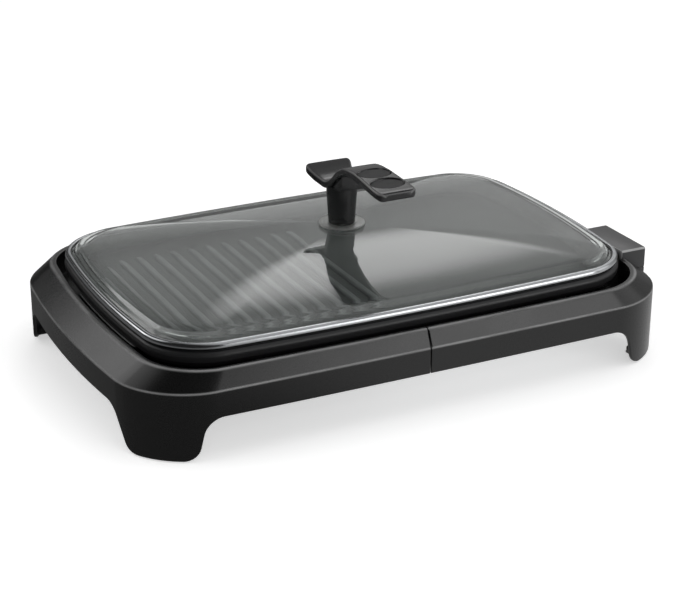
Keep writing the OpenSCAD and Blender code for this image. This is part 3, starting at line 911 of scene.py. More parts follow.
        # painted highlight along the crease and the lip's edge, strongest in the middle of each
        # band
        shares = {
            first + k: share
            for first in self.painted_highlight_lines
            for k, share in enumerate((0.3, 0.8, 1.0, 0.8, 0.3))
        }
        mark_painted_highlight(mesh, lambda number, _: shares.get(number // width, 0.0))
        mesh.verts.ensure_lookup_table()
        for column in (0, width - 1):
            mesh.faces.new([mesh.verts[j * width + column] for j in range(len(lines))])
        bmesh.ops.recalc_face_normals(mesh, faces=mesh.faces[:])
        return mesh

    def closing_wall(
        self, outer: float, inner: float, lift: float, slope: float, drop: float
    ) -> list[tuple[float, float]]:
        """Finds the outline of a plate that closes the hollow wall.

        Args:
            outer: How far out it reaches, to the inside of the wall.
            inner: How far out it starts, under the lip.
            lift: How far it stays above the skirt's lower edge.
            slope: How much further out its top ends than its inner side.
            drop: How far it stays below the lip.

        Returns:
            Its corners, as pairs of (distance from the middle, height).
        """
        low, high = self.skirt_z + lift, self.lip_z - drop
        return [
            (outer, low), (outer, self.crease_z - self.wall / 2),
            (inner + slope, high), (inner, high), (inner, low),
        ]

    def seam_walls(self, side: int) -> list[bmesh.types.BMesh]:
        """Builds the plates that close the hollow walls at the seams of one half.

        Args:
            side: -1 for the left half, 1 for the right.

        Returns:
            The plates' meshes.
        """
        x0 = self.seam_gap / 2 + 0.3
        deep = self.foot.half_depth + self.foot.side_bow - self.wall + 0.4
        shallow = self.lip.half_depth + self.lip.side_bow - self.lip_w
        outline = self.closing_wall(deep, shallow, 0.8, 3.6, 3.2)
        sweep = Vector((side * self.wall, 0, 0))
        return [slab([(side * x0, s * y, z) for y, z in outline], sweep) for s in (-1, 1)]

    def soles(self, side: int) -> list[bmesh.types.BMesh]:
        """Builds the flat soles inside the two legs of one half.

        Args:
            side: -1 for the left half, 1 for the right.

        Returns:
            The soles' meshes.
        """
        start = self.find(0, -self.front_toe[0], *FRONT)
        end = self.find(1, -self.end_toe[0], *LEFT_END)
        reach, (bevel_x, bevel_y) = self.sole_reach, self.sole_bevel
        meshes = []
        for s in (-1, 1):
            inside = []
            for k in range(15):
                v = self.foot.point(self.wall * 0.6, mix(start, end, k / 14), 0) / MM
                inside.append((-side * v.x, -s * v.y, self.leg_z + 0.15))
            (ax, ay, _), (bx, by, z) = inside[0], inside[-1]
            inside += [
                (bx - side * reach, by, z), (bx - side * reach, ay - s * bevel_y, z),
                (bx - side * bevel_x, ay - s * reach, z), (ax, ay - s * reach, z),
            ]
            meshes.append(slab(inside, Vector((0, 0, self.sole_t))))
        return meshes

    def bosses(self, side: int) -> list[bmesh.types.BMesh]:
        """Builds the screw bosses on the shelf of one half.

        Args:
            side: -1 for the left half, 1 for the right.

        Returns:
            The bosses' meshes.
        """
        z = self.shelf_z - 0.2
        profile = [(radius, z + high) for radius, high in self.boss]
        return [
            turned(profile, (side * x, y, 0), 40)
            for x in self.boss_x
            for y in (-self.boss_y, self.boss_y)
        ]

    def notched(self, mesh: bmesh.types.BMesh) -> list[bmesh.types.BMesh]:
        """Opens the right half's end wall for the terminal socket.

        Args:
            mesh: The whole right half, which is freed.

        Returns:
            What is left on both sides of the notch, and the strip of skirt below it.
        """
        low, high = self.notch_y
        front, back, over = (0, low, 0), (0, high, 0), (0, 0, self.notch_z)
        plans = [
            [(front, (0, 1, 0))],
            [(back, (0, -1, 0))],
            [(front, (0, -1, 0)), (back, (0, 1, 0)), (over, (0, 0, 1))],
        ]
        result = []
        for plan in plans:
            part = mesh.copy()
            for point, away in plan:
                every = part.verts[:] + part.edges[:] + part.faces[:]
                bmesh.ops.bisect_plane(
                    part, geom=every, plane_co=Vector(point) * MM,
                    plane_no=Vector(away), clear_outer=True,
                )
                open_edges = [e for e in part.edges if len(e.link_faces) == 1]
                bmesh.ops.holes_fill(part, edges=open_edges, sides=0)
            result.append(part)
        # the strip reaches round the whole mesh, so what isn't under the notch goes
        strip = result[-1]
        stray = [v for v in strip.verts if v.co.x < self.notch_x * MM]
        bmesh.ops.delete(strip, geom=stray, context="VERTS")
        mesh.free()
        return result

    def cheeks(self) -> list[bmesh.types.BMesh]:
        """Builds the walls that close the hollow slope on both sides of the notch.

        Returns:
            The walls' meshes.
        """
        meshes = []
        for y, away in ((self.notch_y[0] - 0.1, -1), (self.notch_y[1] + 0.1, 1)):
            bow = 1 - (y / self.foot.half_depth) ** 2
            outer = self.foot.half_length + self.foot.end_bow * bow - self.wall + 0.3
            inner = self.lip.half_length + self.lip.end_bow * bow - self.lip_w
            outline = self.closing_wall(outer, inner, 1.0, 3.5, 3.3)
            points = [(x, y, z) for x, z in outline]
            meshes.append(slab(points, Vector((0, away * self.wall, 0))))
        return meshes

    def notch_lining(self) -> list[bmesh.types.BMesh]:
        """Builds the floor and sides that close the shelf under the terminal socket.

        Returns:
            The meshes of the floor and both sides.
        """
        (low, high), z = self.notch_y, self.notch_z - 3.2
        (start, side_end, end), top = self.lining_x, z + self.lining_high
        floor = [(start, low - 1, z), (end, low - 1, z), (end, high + 1, z), (start, high + 1, z)]
        meshes = [slab(floor, Vector((0, 0, self.lining_t)))]
        for y, away in ((low - 0.1, -1), (high + 0.1, 1)):
            side = [(start, y, z), (side_end, y, z), (side_end, y, top), (start, y, top)]
            meshes.append(slab(side, Vector((0, away * self.lining_t, 0))))
        return meshes

    def build(self) -> None:
        """Builds both halves and dresses them."""
        left = [self.half_mesh(-1)]
        right = self.notched(self.half_mesh(1)) + self.cheeks() + self.notch_lining()
        for name, side, meshes in (("left", -1, left), ("right", 1, right)):
            meshes += self.seam_walls(side) + self.soles(side) + self.bosses(side)
            piece = make_piece(f"base_{name}_moulding", meshes)
            dress(piece, Body.BASE, Slot.BASE_PLASTIC, MOULDED_BASE, f"base_{name}")


@dataclass
class GrillPlate:
    """The cast plate that lifts out: ribs on its left half, a flat right half."""

    edge: Outline = Outline(231.8, 148.0, 49.1, 12.1, 6.5)
    floor_z: float = 75.0
    rim_z: float = 87.2
    edge_roll: float = 4.8
    rib_count: int = 13
    rib_pitch: float = 17.5
    rib_first: float = 0.45
    rib_half: float = 104.0
    rib_high: float = 2.7
    rib_taper: tuple[float, int] = (1.6, 9)  # shortening, and the last rib at full length
    rib_fade: float = 0.09  # share of its length over which a rib's end rises
    beads: Rows = ((-1, -88.0, 50.0), (1, 0.0, 90.0))  # side, start and end of each
    bead: Section = (
        (0.4, 0.0), (-0.6, 0.15), (-1.1, 0.6), (-1.2, 1.1), (-1.1, 1.6), (-0.6, 2.05), (0.4, 2.2),
    )  # inset and height
    pad_x: float = 150.0
    pad_y: float = 144.5
    stud: Section = ((4.6, 60.0), (5.2, 60.3), (5.5, 61.0), (5.5, 72.5))  # a cast foot
    boss: tuple[float, float, float] = (209.0, -96.5, -45.5)
    boss_line: Section = (
        (2.0, 69.5), (2.0, 66.8), (2.4, 66.5), (4.6, 66.5), (5.0, 66.9), (5.0, 70.5),
    )

    def shell(self) -> bmesh.types.BMesh:
        """Builds the plate's body: underside, outer wall, rim, inner wall and floor.

        Returns:
            The mesh.
        """
        places = all_round(22, 44, 26)
        f, top, roll = self.floor_z, self.rim_z, self.edge_roll
        turn = [math.radians(11.25 * k) for k in range(9)]
        rows = [(16, f - 5, 0), (6, f - 3.5, 3.0), (2.2, f + 1.2, 1.5), (0.6, f + 2.4, 1.2)]
        rows += [(roll * (1 - math.cos(t)), top - roll * (1 - math.sin(t)), 0) for t in turn]
        rows += [(6.6, top, 1.0), (13.6, f + 1.2, 2.4), (18.0, f, 2.0), (21.0, f, 0)]
        return skin(loft([Ring(self.edge, *row) for row in rows], places), capped=True)

    def rib(self, number: int) -> bmesh.types.BMesh:
        """Builds one sear rib, which flows out of the floor and fades at its ends.

        Args:
            number: The rib's number, from 0 at the middle of the plate.

        Returns:
            The mesh.
        """
        x0 = -self.rib_pitch * (number + self.rib_first)
        drop, last_full = self.rib_taper
        half = self.rib_half - drop * max(0, number - last_full) ** 3
        profile = [
            (-4.6, 0.0), (-4.1, 0.1), (-3.7, 0.35), (-3.3, 0.9), (-2.9, 1.75), (-2.5, 2.35),
            (-2.0, 2.62), (-1.2, 2.7), (0.0, 2.72),
        ]
        profile += [(-x, z) for x, z in reversed(profile[:-1])]
        steps = [0.0, 0.004, 0.01, 0.018, 0.028, 0.04, 0.055, 0.072, 0.09, 0.2, 0.35, 0.5]
        steps += [1 - s for s in reversed(steps[:-1])]
        lines = []
        for s in steps:
            near = min(s, 1 - s) / self.rib_fade
            rise = math.sqrt(max(0.0, 1 - (1 - min(near, 1.0)) ** 2))
            wide = mix(0.25, 1.0, rise)
            y, z0 = mix(-half, half, s), self.floor_z + 0.03
            lines.append([Vector((x0 + x * wide, y, z0 + z * rise)) * MM for x, z in profile])
        mesh = skin(lines, around=False)
        # painted highlight on the rib's upper part, growing towards its top
        mark_painted_highlight(
            mesh,
            lambda _, v: max(0.0, (v.co.z / MM - self.floor_z) / self.rib_high - 0.15),
        )
        return mesh

    def lifting_bead(self, side: int, y0: float, y1: float) -> bmesh.types.BMesh:
        """Builds the raised bead on one end that a finger finds to lift the plate.

        Args:
            side: -1 for the left end, 1 for the right.
            y0: Where the bead starts.
            y1: Where it ends.

        Returns:
            The mesh.
        """
        (root, _), middle, steps = self.bead[0], 1.1, 40
        lines = []
        for k in range(steps + 1):
            y = mix(y0, y1, k / steps)
            near = min(k, steps - k) / 2.0
            swell = math.sqrt(max(0.0, 1 - (1 - min(near, 1.0)) ** 2))
            line = []
            for inset, z in self.bead:
                x = self.end_x(mix(root, inset, swell), y)
                height = self.floor_z + middle + (z - middle) * mix(0.5, 1, swell)
                line.append(Vector((side * x, y, height)) * MM)
            lines.append(line)
        return skin(lines, around=False)

    def end_x(self, inset: float, y: float) -> float:
        """Returns how far out the plate's end is at y, on the outline drawn in by inset."""
        a, b = self.edge.half_length - inset, self.edge.half_depth - inset
        return a * (1 + self.edge.end_bow / a * (1 - (y / b) ** 2))

    def underside(self) -> list[bmesh.types.BMesh]:
        """Builds the cast feet and the two bosses for the socket housing.

        Returns:
            The meshes of the feet and the bosses.
        """
        x, front, back = self.boss
        meshes = [
            turned(self.stud, (side * self.pad_x, end * self.pad_y, 0), 40)
            for side in (-1, 1)
            for end in (-1, 1)
        ]
        return meshes + [turned(self.boss_line, (x, y, 0), 40) for y in (front, back)]

    def build(self) -> None:
        """Builds the plate and dresses it."""
        # the ribs come first, because the first mesh brings the painted highlight's attribute in
        parts = [self.rib(k) for k in range(self.rib_count)] + [self.shell()]
        parts += [self.lifting_bead(*row) for row in self.beads] + self.underside()
        piece = make_piece("grill_plate_casting", parts, 40)
        dress(piece, Body.PLATE, Slot.NONSTICK, NONSTICK, "grill_plate")


@dataclass
class TerminalSocket:
    """The housing on the plate's right end that the detachable control plugs into."""

    x0: float = 246.0
    x1: float = 273.0
    y: float = -71.0
    wide: float = 68.0
    z0: float = 50.0
    split: float = 66.5
    z1: float = 86.6
    mouth: float = 54.0  # width of the opening
    mouth_z: tuple[float, float] = (54.0, 80.5)
    gap: float = 0.12  # from the split to each half
    chamfer: float = 1.2  # along the hood's upper edges
    edge_r: float = 0.55
    tongue_x: float = 201.0
    tongue_w: float = 60.0

    def half(self, upper: bool) -> bmesh.types.BMesh:
        """Builds the upper or the lower half: a channel swept along X with eased edges.

        Args:
            upper: Whether it is the upper half.

        Returns:
            The mesh, with the painted highlight on its chamfers.
        """
        w, m, c = self.wide / 2, self.mouth / 2, self.chamfer
        if upper:
            outer, inner, meet = self.z1, self.mouth_z[1], self.split + self.gap
            top = [(-w, outer - c), (-w + c, outer), (w - c, outer), (w, outer - c)]
        else:
            outer, inner, meet = self.z0, self.mouth_z[0], self.split - self.gap
            top = [(-w, outer), (w, outer)]
        profile = [(-w, meet), *top, (w, meet), (m, meet), (m, inner), (-m, inner), (-m, meet)]
        points = [(self.x0, self.y + y, z) for y, z in profile]
        mesh = rounded_edges(slab(points, Vector((self.x1 - self.x0, 0, 0))), self.edge_r)

        def share(_: int, vert: bmesh.types.BMVert) -> float:
            """Returns one on the hood's chamfers, which carry a painted highlight, and none
            elsewhere.

            Args:
                vert: The vertex; its number isn't used.

            Returns:
                The share of the painted highlight.
            """
            out, high = self.wide / 2 - abs(vert.co.y / MM - self.y), vert.co.z / MM
            on = 0.02 < out < 1.7 and high < self.z1 - 0.02 and high > self.z1 - 1.7
            return float(upper and on)

        mark_painted_highlight(mesh, share)
        return mesh

    def tongue(self) -> bmesh.types.BMesh:
        """Builds the tongue that reaches under the plate.

        Returns:
            The mesh.
        """
        w, low, high = self.tongue_w / 2, self.z0, self.split - 0.1
        section = ((-w, low), (w, low), (w, high), (-w, high))
        points = [(self.tongue_x, self.y + y, z) for y, z in section]
        return rounded_edges(slab(points, Vector((self.x0 - self.tongue_x + 0.5, 0, 0))), 0.6)

    def build(self) -> None:
        """Builds both halves and dresses them."""
        for name, meshes, node in (
            ("socket_hood", [self.half(True)], "socket_upper"),
            ("socket_tray", [self.half(False), self.tongue()], "socket_lower"),
        ):
            piece = make_piece(name, meshes)
            dress(piece, Body.PLATE, Slot.SOCKET_PLASTIC, MOULDED_SOCKET, node)


@dataclass
class GlassLid:
    """The domed glass with its steel rim, its gasket and the washer under the handle."""

    edge: Outline = Outline(230.8, 147.0, 48.1, 12.1, 6.5)
    dome: Outline = Outline(219.8, 136.0, 38.0, 12.1, 6.5)
    shoulder_z: float = 99.5
    crown_z: float = 120.5
    glass_t: float = 4.0
    edge_z: float = 89.2
    rim_z: float = 87.4
    band_h: float = 7.0
    hole_r: float = 3.2
    flat: float = 0.06  # share of the dome that is flat under the washer
    steps: tuple[int, int, int] = (24, 48, 28)  # round a corner, a long side and an end
    washer_r: float = 21.8
    washer_top: float = 122.5

    def height(self, share: float) -> float:
        """Returns the height of the glass's top at a share of the way out from the crown."""
        return self.shoulder_z + (self.crown_z - self.shoulder_z) * (1 - share**2)

    def glass(self) -> bmesh.types.BMesh:
        """Builds the glass, from the hole up and over the dome, round the edge and back.

        Returns:
            The mesh.
        """
        places = all_round(*self.steps)
        shares = [0.05, 0.12, 0.2, 0.28, 0.36, 0.44, 0.52, 0.6, 0.68, 0.76, 0.83, 0.89, 0.935]
        edge_top = self.edge_z + self.glass_t

        def round_hole(z: float) -> Line:
            """Returns the hole's edge, one point for each place.

            Args:
                z: The height in millimetres.

            Returns:
                The line's points.
            """
            line = Ring(self.dome, 0, z).line(places)
            return [
                Vector((v.x, v.y, 0)).normalized() * self.hole_r * MM + Vector((0, 0, z * MM))
                for v in line
            ]

        over, under = (
            [Ring(self.dome, 0, self.height(s) - deep, 0, s).line(places) for s in shares]
            for deep in (0.0, self.glass_t)
        )
        shoulder, low = self.shoulder_z, self.edge_z
        outside = [
            Ring(self.dome, 0, self.height(0.96), 0, 0.96),
            Ring(self.dome, 2.0, shoulder + 0.2, 2.6),
        ]
        outside += [
            Ring(self.edge, *row)
            for row in (
                (10.4, shoulder - 1.9, 2.4), (7.6, edge_top + 1.2, 1.4), (5.8, edge_top, 1.0),
                (2.4, edge_top, 0.4), (1.8, edge_top - 0.6, 0.3), (1.8, low, 0.5),
                (7.4, low, 1.2), (9.8, low + 1.4, 1.2), (12.6, low + 4.6, 1.6),
            )
        ]
        outside.append(Ring(self.dome, 0, self.height(0.95) - self.glass_t, 0, 0.95))
        lines = [round_hole(self.crown_z)] + over + loft(outside, places) + under[::-1]
        lines.append(round_hole(self.crown_z - self.glass_t))
        return skin(lines, closed=True)

    def rim(self) -> bmesh.types.BMesh:
        """Builds the rolled channel round the edge of the glass.

        Returns:
            The mesh.
        """
        z0, z1 = self.rim_z, self.rim_z + self.band_h
        rows = (
            (1.4, z0, 0.6), (0.4, z0 + 1.0, 0.7), (0.0, z0 + 2.4, 0.8), (0.0, z1 - 3.4, 0.9),
            (0.5, z1 - 1.6, 0.8), (1.6, z1 - 0.4, 0.7), (2.9, z1, 0.7), (4.3, z1 - 0.05, 0.4),
            (4.9, z1 - 0.5, 0.3), (4.9, z1 - 1.15, 0.1), (4.4, z1 - 1.15, 0.1),
            (4.2, z1 - 0.75, 0.2), (2.4, z1 - 0.75, 0.4), (1.4, z1 - 1.8, 0.5),
            (0.9, z1 - 3.2, 0.4), (0.9, z0 + 2.4, 0.3), (1.5, z0 + 0.8, 0.3),
            (7.0, z0 + 0.8, 0.2), (7.0, z0, 0.2),
        )
        lines = loft([Ring(self.edge, *row) for row in rows], all_round(*self.steps), True)
        return skin(lines, closed=True)

    def gasket(self) -> list[bmesh.types.BMesh]:
        """Builds the gasket under the glass and the bead on it, along the steel's lip.

        Returns:
            The meshes of the gasket and the bead.
        """
        places = all_round(*self.steps)
        z0, z1 = self.edge_z, self.edge_z + self.glass_t
        cushion = [(1.8, z0 - 0.95), (1.8, z0 - 0.05), (6.8, z0 - 0.05), (6.8, z0 - 0.95)]
        rises = ((4.5, 0.02), (4.5, 0.55), (5.3, 0.6), (5.8, 0.45), (5.9, 0.1))
        bead = [(inset, z1 + rise) for inset, rise in rises]
        return [
            skin(loft([Ring(self.edge, inset, z, 0.2) for inset, z in section], places, True),
                 closed=True)
            for section in (cushion, bead)
        ]

    def build(self) -> None:
        """Builds the lid's pieces and dresses them."""
        r, top, low = self.washer_r, self.washer_top, self.height(self.flat) + 0.02
        profile = (
            (2.7, top), (2.7, low), (r - 0.9, low), (r - 0.2, low + 0.5), (r, low + 1.0),
            (r - 0.25, top - 0.35), (r - 0.9, top), (13.2, top), (3.2, top),
        )
        for name, meshes, slot, finish, node in (
            ("lid_glass_pane", [self.glass()], Slot.GLASS, TEMPERED, "lid_glass"),
            ("lid_rim_channel", [self.rim()], Slot.RIM_STEEL, BUFFED_STEEL, "lid_rim"),
            ("lid_rim_gasket", self.gasket(), Slot.SILICONE, GASKET, "rim_gasket"),
            ("crown_washer_disc", [turned(profile, segments=96, hollow=True)],
             Slot.SILICONE, SILICONE, "crown_washer"),
        ):
            dress(make_piece(name, meshes), Body.LID, slot, finish, node)


@dataclass
class LidHandle:
    """The handle: a pillar, a web and a wing that dips to a saddle, with two finger pads."""

    base_z: float = 122.5
    thick: float = 7.6
    stations: tuple[tuple[float, float, float], ...] = (
        (31.5, 50.6, 38), (29, 49.6, 46), (22, 46, 43), (13, 42.6, 37), (4, 41.3, 33),
        (-6, 46, 31), (-16, 54.4, 32), (-27, 61.5, 34), (-38, 65.7, 35), (-57, 67.6, 35),
        (-80, 66.4, 37), (-102, 64.8, 38.5), (-108, 64.4, 37), (-111, 63.8, 30),
    )
    edge_r: float = 2.3
    crown: float = 0.12  # how far the top bulges
    spread: int = 9  # sections between two stations
    end_shrinks: tuple[float, ...] = (2.0, 1.0, 0.5, 0.2, 0.05)  # at both rounded ends
    pads: Section = ((-64.5, 67.2), (-90.0, 65.7))  # y, and height of the wing there
    pad_size: tuple[float, float] = (15.5, 11.0)
    pad_tilt: float = 3.5
    pad_sink: float = 2.2
    recess: Section = (
        (0.1, 0.0), (0.1, 0.7), (0.5, 1.4), (1.1, 2.1), (1.9, 3.0), (2.5, 6.0),
    )  # growth and height of its wall
    inlay: Section = (
        (0.0, 0.02), (0.0, 0.8), (-0.25, 1.15), (-0.8, 1.3), (-4.0, 1.36), (-9.0, 1.4),
    )
    pillar: Section = (
        (12.2, 0.0), (12.5, 0.35), (12.9, 6.0), (13.5, 16.0), (14.1, 25.0), (14.4, 30.0),
        (14.4, 37.0),
    )  # radius and height
    web: Section = ((-1.0, 34.5), (-23.0, 37.5), (-23.0, 54.0), (-6.0, 42.0), (-1.0, 38.0))
    web_w: float = 24.0

    def spine(self) -> list[Vector]:
        """Returns stations (y, top height, width) spread finely along the wing."""
        points = [Vector(s) for s in self.stations]
        points = [points[0] * 2 - points[1], *points, points[-1] * 2 - points[-2]]
        fine = []
        for k in range(1, len(points) - 2):
            a, b, c, d = points[k - 1 : k + 3]
            knots = [0.0]
            for p, q in ((a, b), (b, c), (c, d)):
                knots.append(knots[-1] + max((q - p).length, 1e-6) ** 0.5)
            for step in range(self.spread):
                t = mix(knots[1], knots[2], step / self.spread)

                def between(p: Vector, q: Vector, i: int, j: int) -> Vector:
                    """Returns the point between p and q at t, by their knots.

                    Args:
                        p: One point.
                        q: The other point.
                        i: The number of the first point's knot.
                        j: The number of the other point's knot.

                    Returns:
                        The point between them.
                    """
                    share = (t - knots[i]) / (knots[j] - knots[i])
                    return p + (q - p) * share

                ab, bc, cd = between(a, b, 0, 1), between(b, c, 1, 2), between(c, d, 2, 3)
                fine.append(between(between(ab, bc, 0, 2), between(bc, cd, 1, 3), 1, 2))
        fine.append(points[-2])
        return fine

    def section(self, station: Vector, shrink: float) -> Line:
        """Builds one upright section of the wing.

        Args:
            station: Its y, the height of its top and its width.
            shrink: How far its outline is drawn in, for the rounded ends.

        Returns:
            The section's points.
        """
        w, t = station.z / 2 - shrink, self.thick / 2 - shrink
        r = min(self.edge_r, t * 0.95)
        line = []
        corners = ((w - r, t - r), (r - w, t - r), (r - w, r - t), (w - r, r - t))
        for quarter, (cx, cz) in enumerate(corners):
            for k in range(7):
                angle = math.radians(90 * quarter + 15 * k)
                line.append((cx + r * math.cos(angle), cz + r * math.sin(angle)))
            if quarter in (0, 2):
                for k in range(1, 12):
                    x = mix(cx, -cx, k / 12)
                    bulge = self.crown * (1 - (x / cx) ** 2) if quarter == 0 else 0.0
                    line.append((x, (t + bulge) * (1 if quarter == 0 else -1)))
        middle = self.base_z + station.y - self.thick / 2
        return [Vector((x, station.x, middle + z)) * MM for x, z in line]

    def wing(self) -> bmesh.types.BMesh:
        """Builds the wing.

        Returns:
            The mesh, with the painted highlight on its eased edges.
        """
        spine = self.spine()
        shrinks = dict(enumerate(self.end_shrinks))
        lines = [
            self.section(station, shrinks.get(min(k, len(spine) - 1 - k), 0.0))
            for k, station in enumerate(spine)
        ]
        mesh = skin(lines, capped=True)
        # painted highlight on the upper eased edges: points 1 to 5 on the right side, 19 to 23 on
        # the left
        shares = {
            first + k: share
            for first in (1, 19)
            for k, share in enumerate((0.3, 0.8, 1.0, 0.8, 0.3))
        }
        mark_painted_highlight(mesh, lambda number, _: shares.get(number % len(lines[0]), 0.0))
        return mesh

    def oval(self, grow: float, pad: tuple[float, float], rise: float) -> Line:
        """Builds one oval line round a finger pad.

        Args:
            grow: How much larger than the pad it is.
            pad: The pad's y and the height of the wing there.
            rise: How far above the recess's floor the line is.

        Returns:
            The line's points.
        """
        tilt = Matrix.Rotation(math.radians(self.pad_tilt), 3, "X")
        foot = Vector((0, pad[0], self.base_z + pad[1] - self.pad_sink))
        half_x, half_y = (size + grow for size in self.pad_size)
        line, steps = [], 72
        for k in range(steps):
            angle = 2 * math.pi * k / steps
            v = Vector((half_x * math.cos(angle), half_y * math.sin(angle), rise))
            line.append((tilt @ v + foot) * MM)
        return line

    def oval_loft(self, pad: tuple[float, float], section: Section) -> bmesh.types.BMesh:
        """Builds a closed oval form round a finger pad from (growth, height) rows."""
        return skin([self.oval(grow, pad, rise) for grow, rise in section], capped=True)

    def build(self) -> None:
        """Builds the handle and its pads and dresses them."""
        wing = make_piece("handle_wing", [self.wing()])
        for pad in self.pads:
            cut_away(wing, make_piece("cutter", [self.oval_loft(pad, self.recess)]))
        z, half = self.base_z, self.web_w / 2
        dress(wing, Body.LID, Slot.HANDLE_PLASTIC, MOULDED_HANDLE, "handle_body")
        pillar = turned([(radius, z + high) for radius, high in self.pillar], segments=96)
        web = slab([(-half, y, z + high) for y, high in self.web], Vector((self.web_w, 0, 0)))
        post = make_piece("handle_pillar", [pillar, rounded_edges(web, 0.7)])
        dress(post, Body.LID, Slot.HANDLE_PLASTIC, MOULDED_HANDLE, "handle_body")
        inlays = [self.oval_loft(pad, self.inlay) for pad in self.pads]
        inlays = make_piece("finger_pad_inlays", inlays)
        dress(inlays, Body.LID, Slot.PAD_RUBBER, SOFT_PAD, "finger_pads")


@dataclass
class Hardware:
    """The CAD nodes that stay as they are and get a finish."""

    finishes: tuple[tuple[Finish | ClearFinish, str], ...] = (
        (ZINC, "seam_joiners joiner_screws"),
        (ALUMINISED, "reflector_pan"),
        (ZINC, "pan_screws"),
        (NITRILE, "rubber_feet"),
        (PHENOLIC, "plate_pads"),
        (SHEATH, "heating_element"),
        (ZINC, "element_clamps clamp_screws"),
        (CONTACT, "contact_pins"),
        (STEATITE, "pin_insulators"),
        (PHENOLIC, "terminal_plate"),
        (CONTACT, "probe_sleeve"),
        (ZINC, "earth_contact socket_screws"),
        (SILICONE, "seal_washer"),
        (CONTACT, "handle_insert"),
        (ZINC, "handle_screw screw_cup"),
    )

    def build(self) -> None:
        """Gives each node its finish."""
        for finish, names in self.finishes:
            for name in names.split():
                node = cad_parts[name]
                node.data.materials.clear()
                node.data.materials.append(finish_material(finish))
                log.info("%s: CAD node, %s", name, finish.name)


# ---- studio ----------------------------------------------------------------------------


@dataclass
class Softbox:
    """A soft rectangular lamp that faces the grill."""

    name: str
    place: tuple[float, float, float]  # metres
    size: tuple[float, float]  # metres
    power: float  # watts

    def build(self) -> None:
        """Adds the lamp, which gloss doesn't mirror."""
        data = bpy.data.lights.new(self.name, "AREA")
        data.shape = "RECTANGLE"
        data.size, data.size_y = self.size
        data.energy = self.power
        lamp = bpy.data.objects.new(self.name, data)
        lamp.location = self.place
        lamp.visible_glossy = False
        ahead = Vector(SUBJECT) - Vector(self.place)
        lamp.rotation_euler = ahead.to_track_quat("-Z", "Y").to_euler()
        bpy.context.scene.collection.objects.link(lamp)
        log.info("%s: softbox of %.0f W", self.name, self.power)


@dataclass
class Glow:
    """A soft bright region of the studio's walls, hidden from the camera."""

    toward: tuple[float, float, float]
    edge: float  # cosine where it starts
    full: float  # cosine where it is at full strength
    strength: float


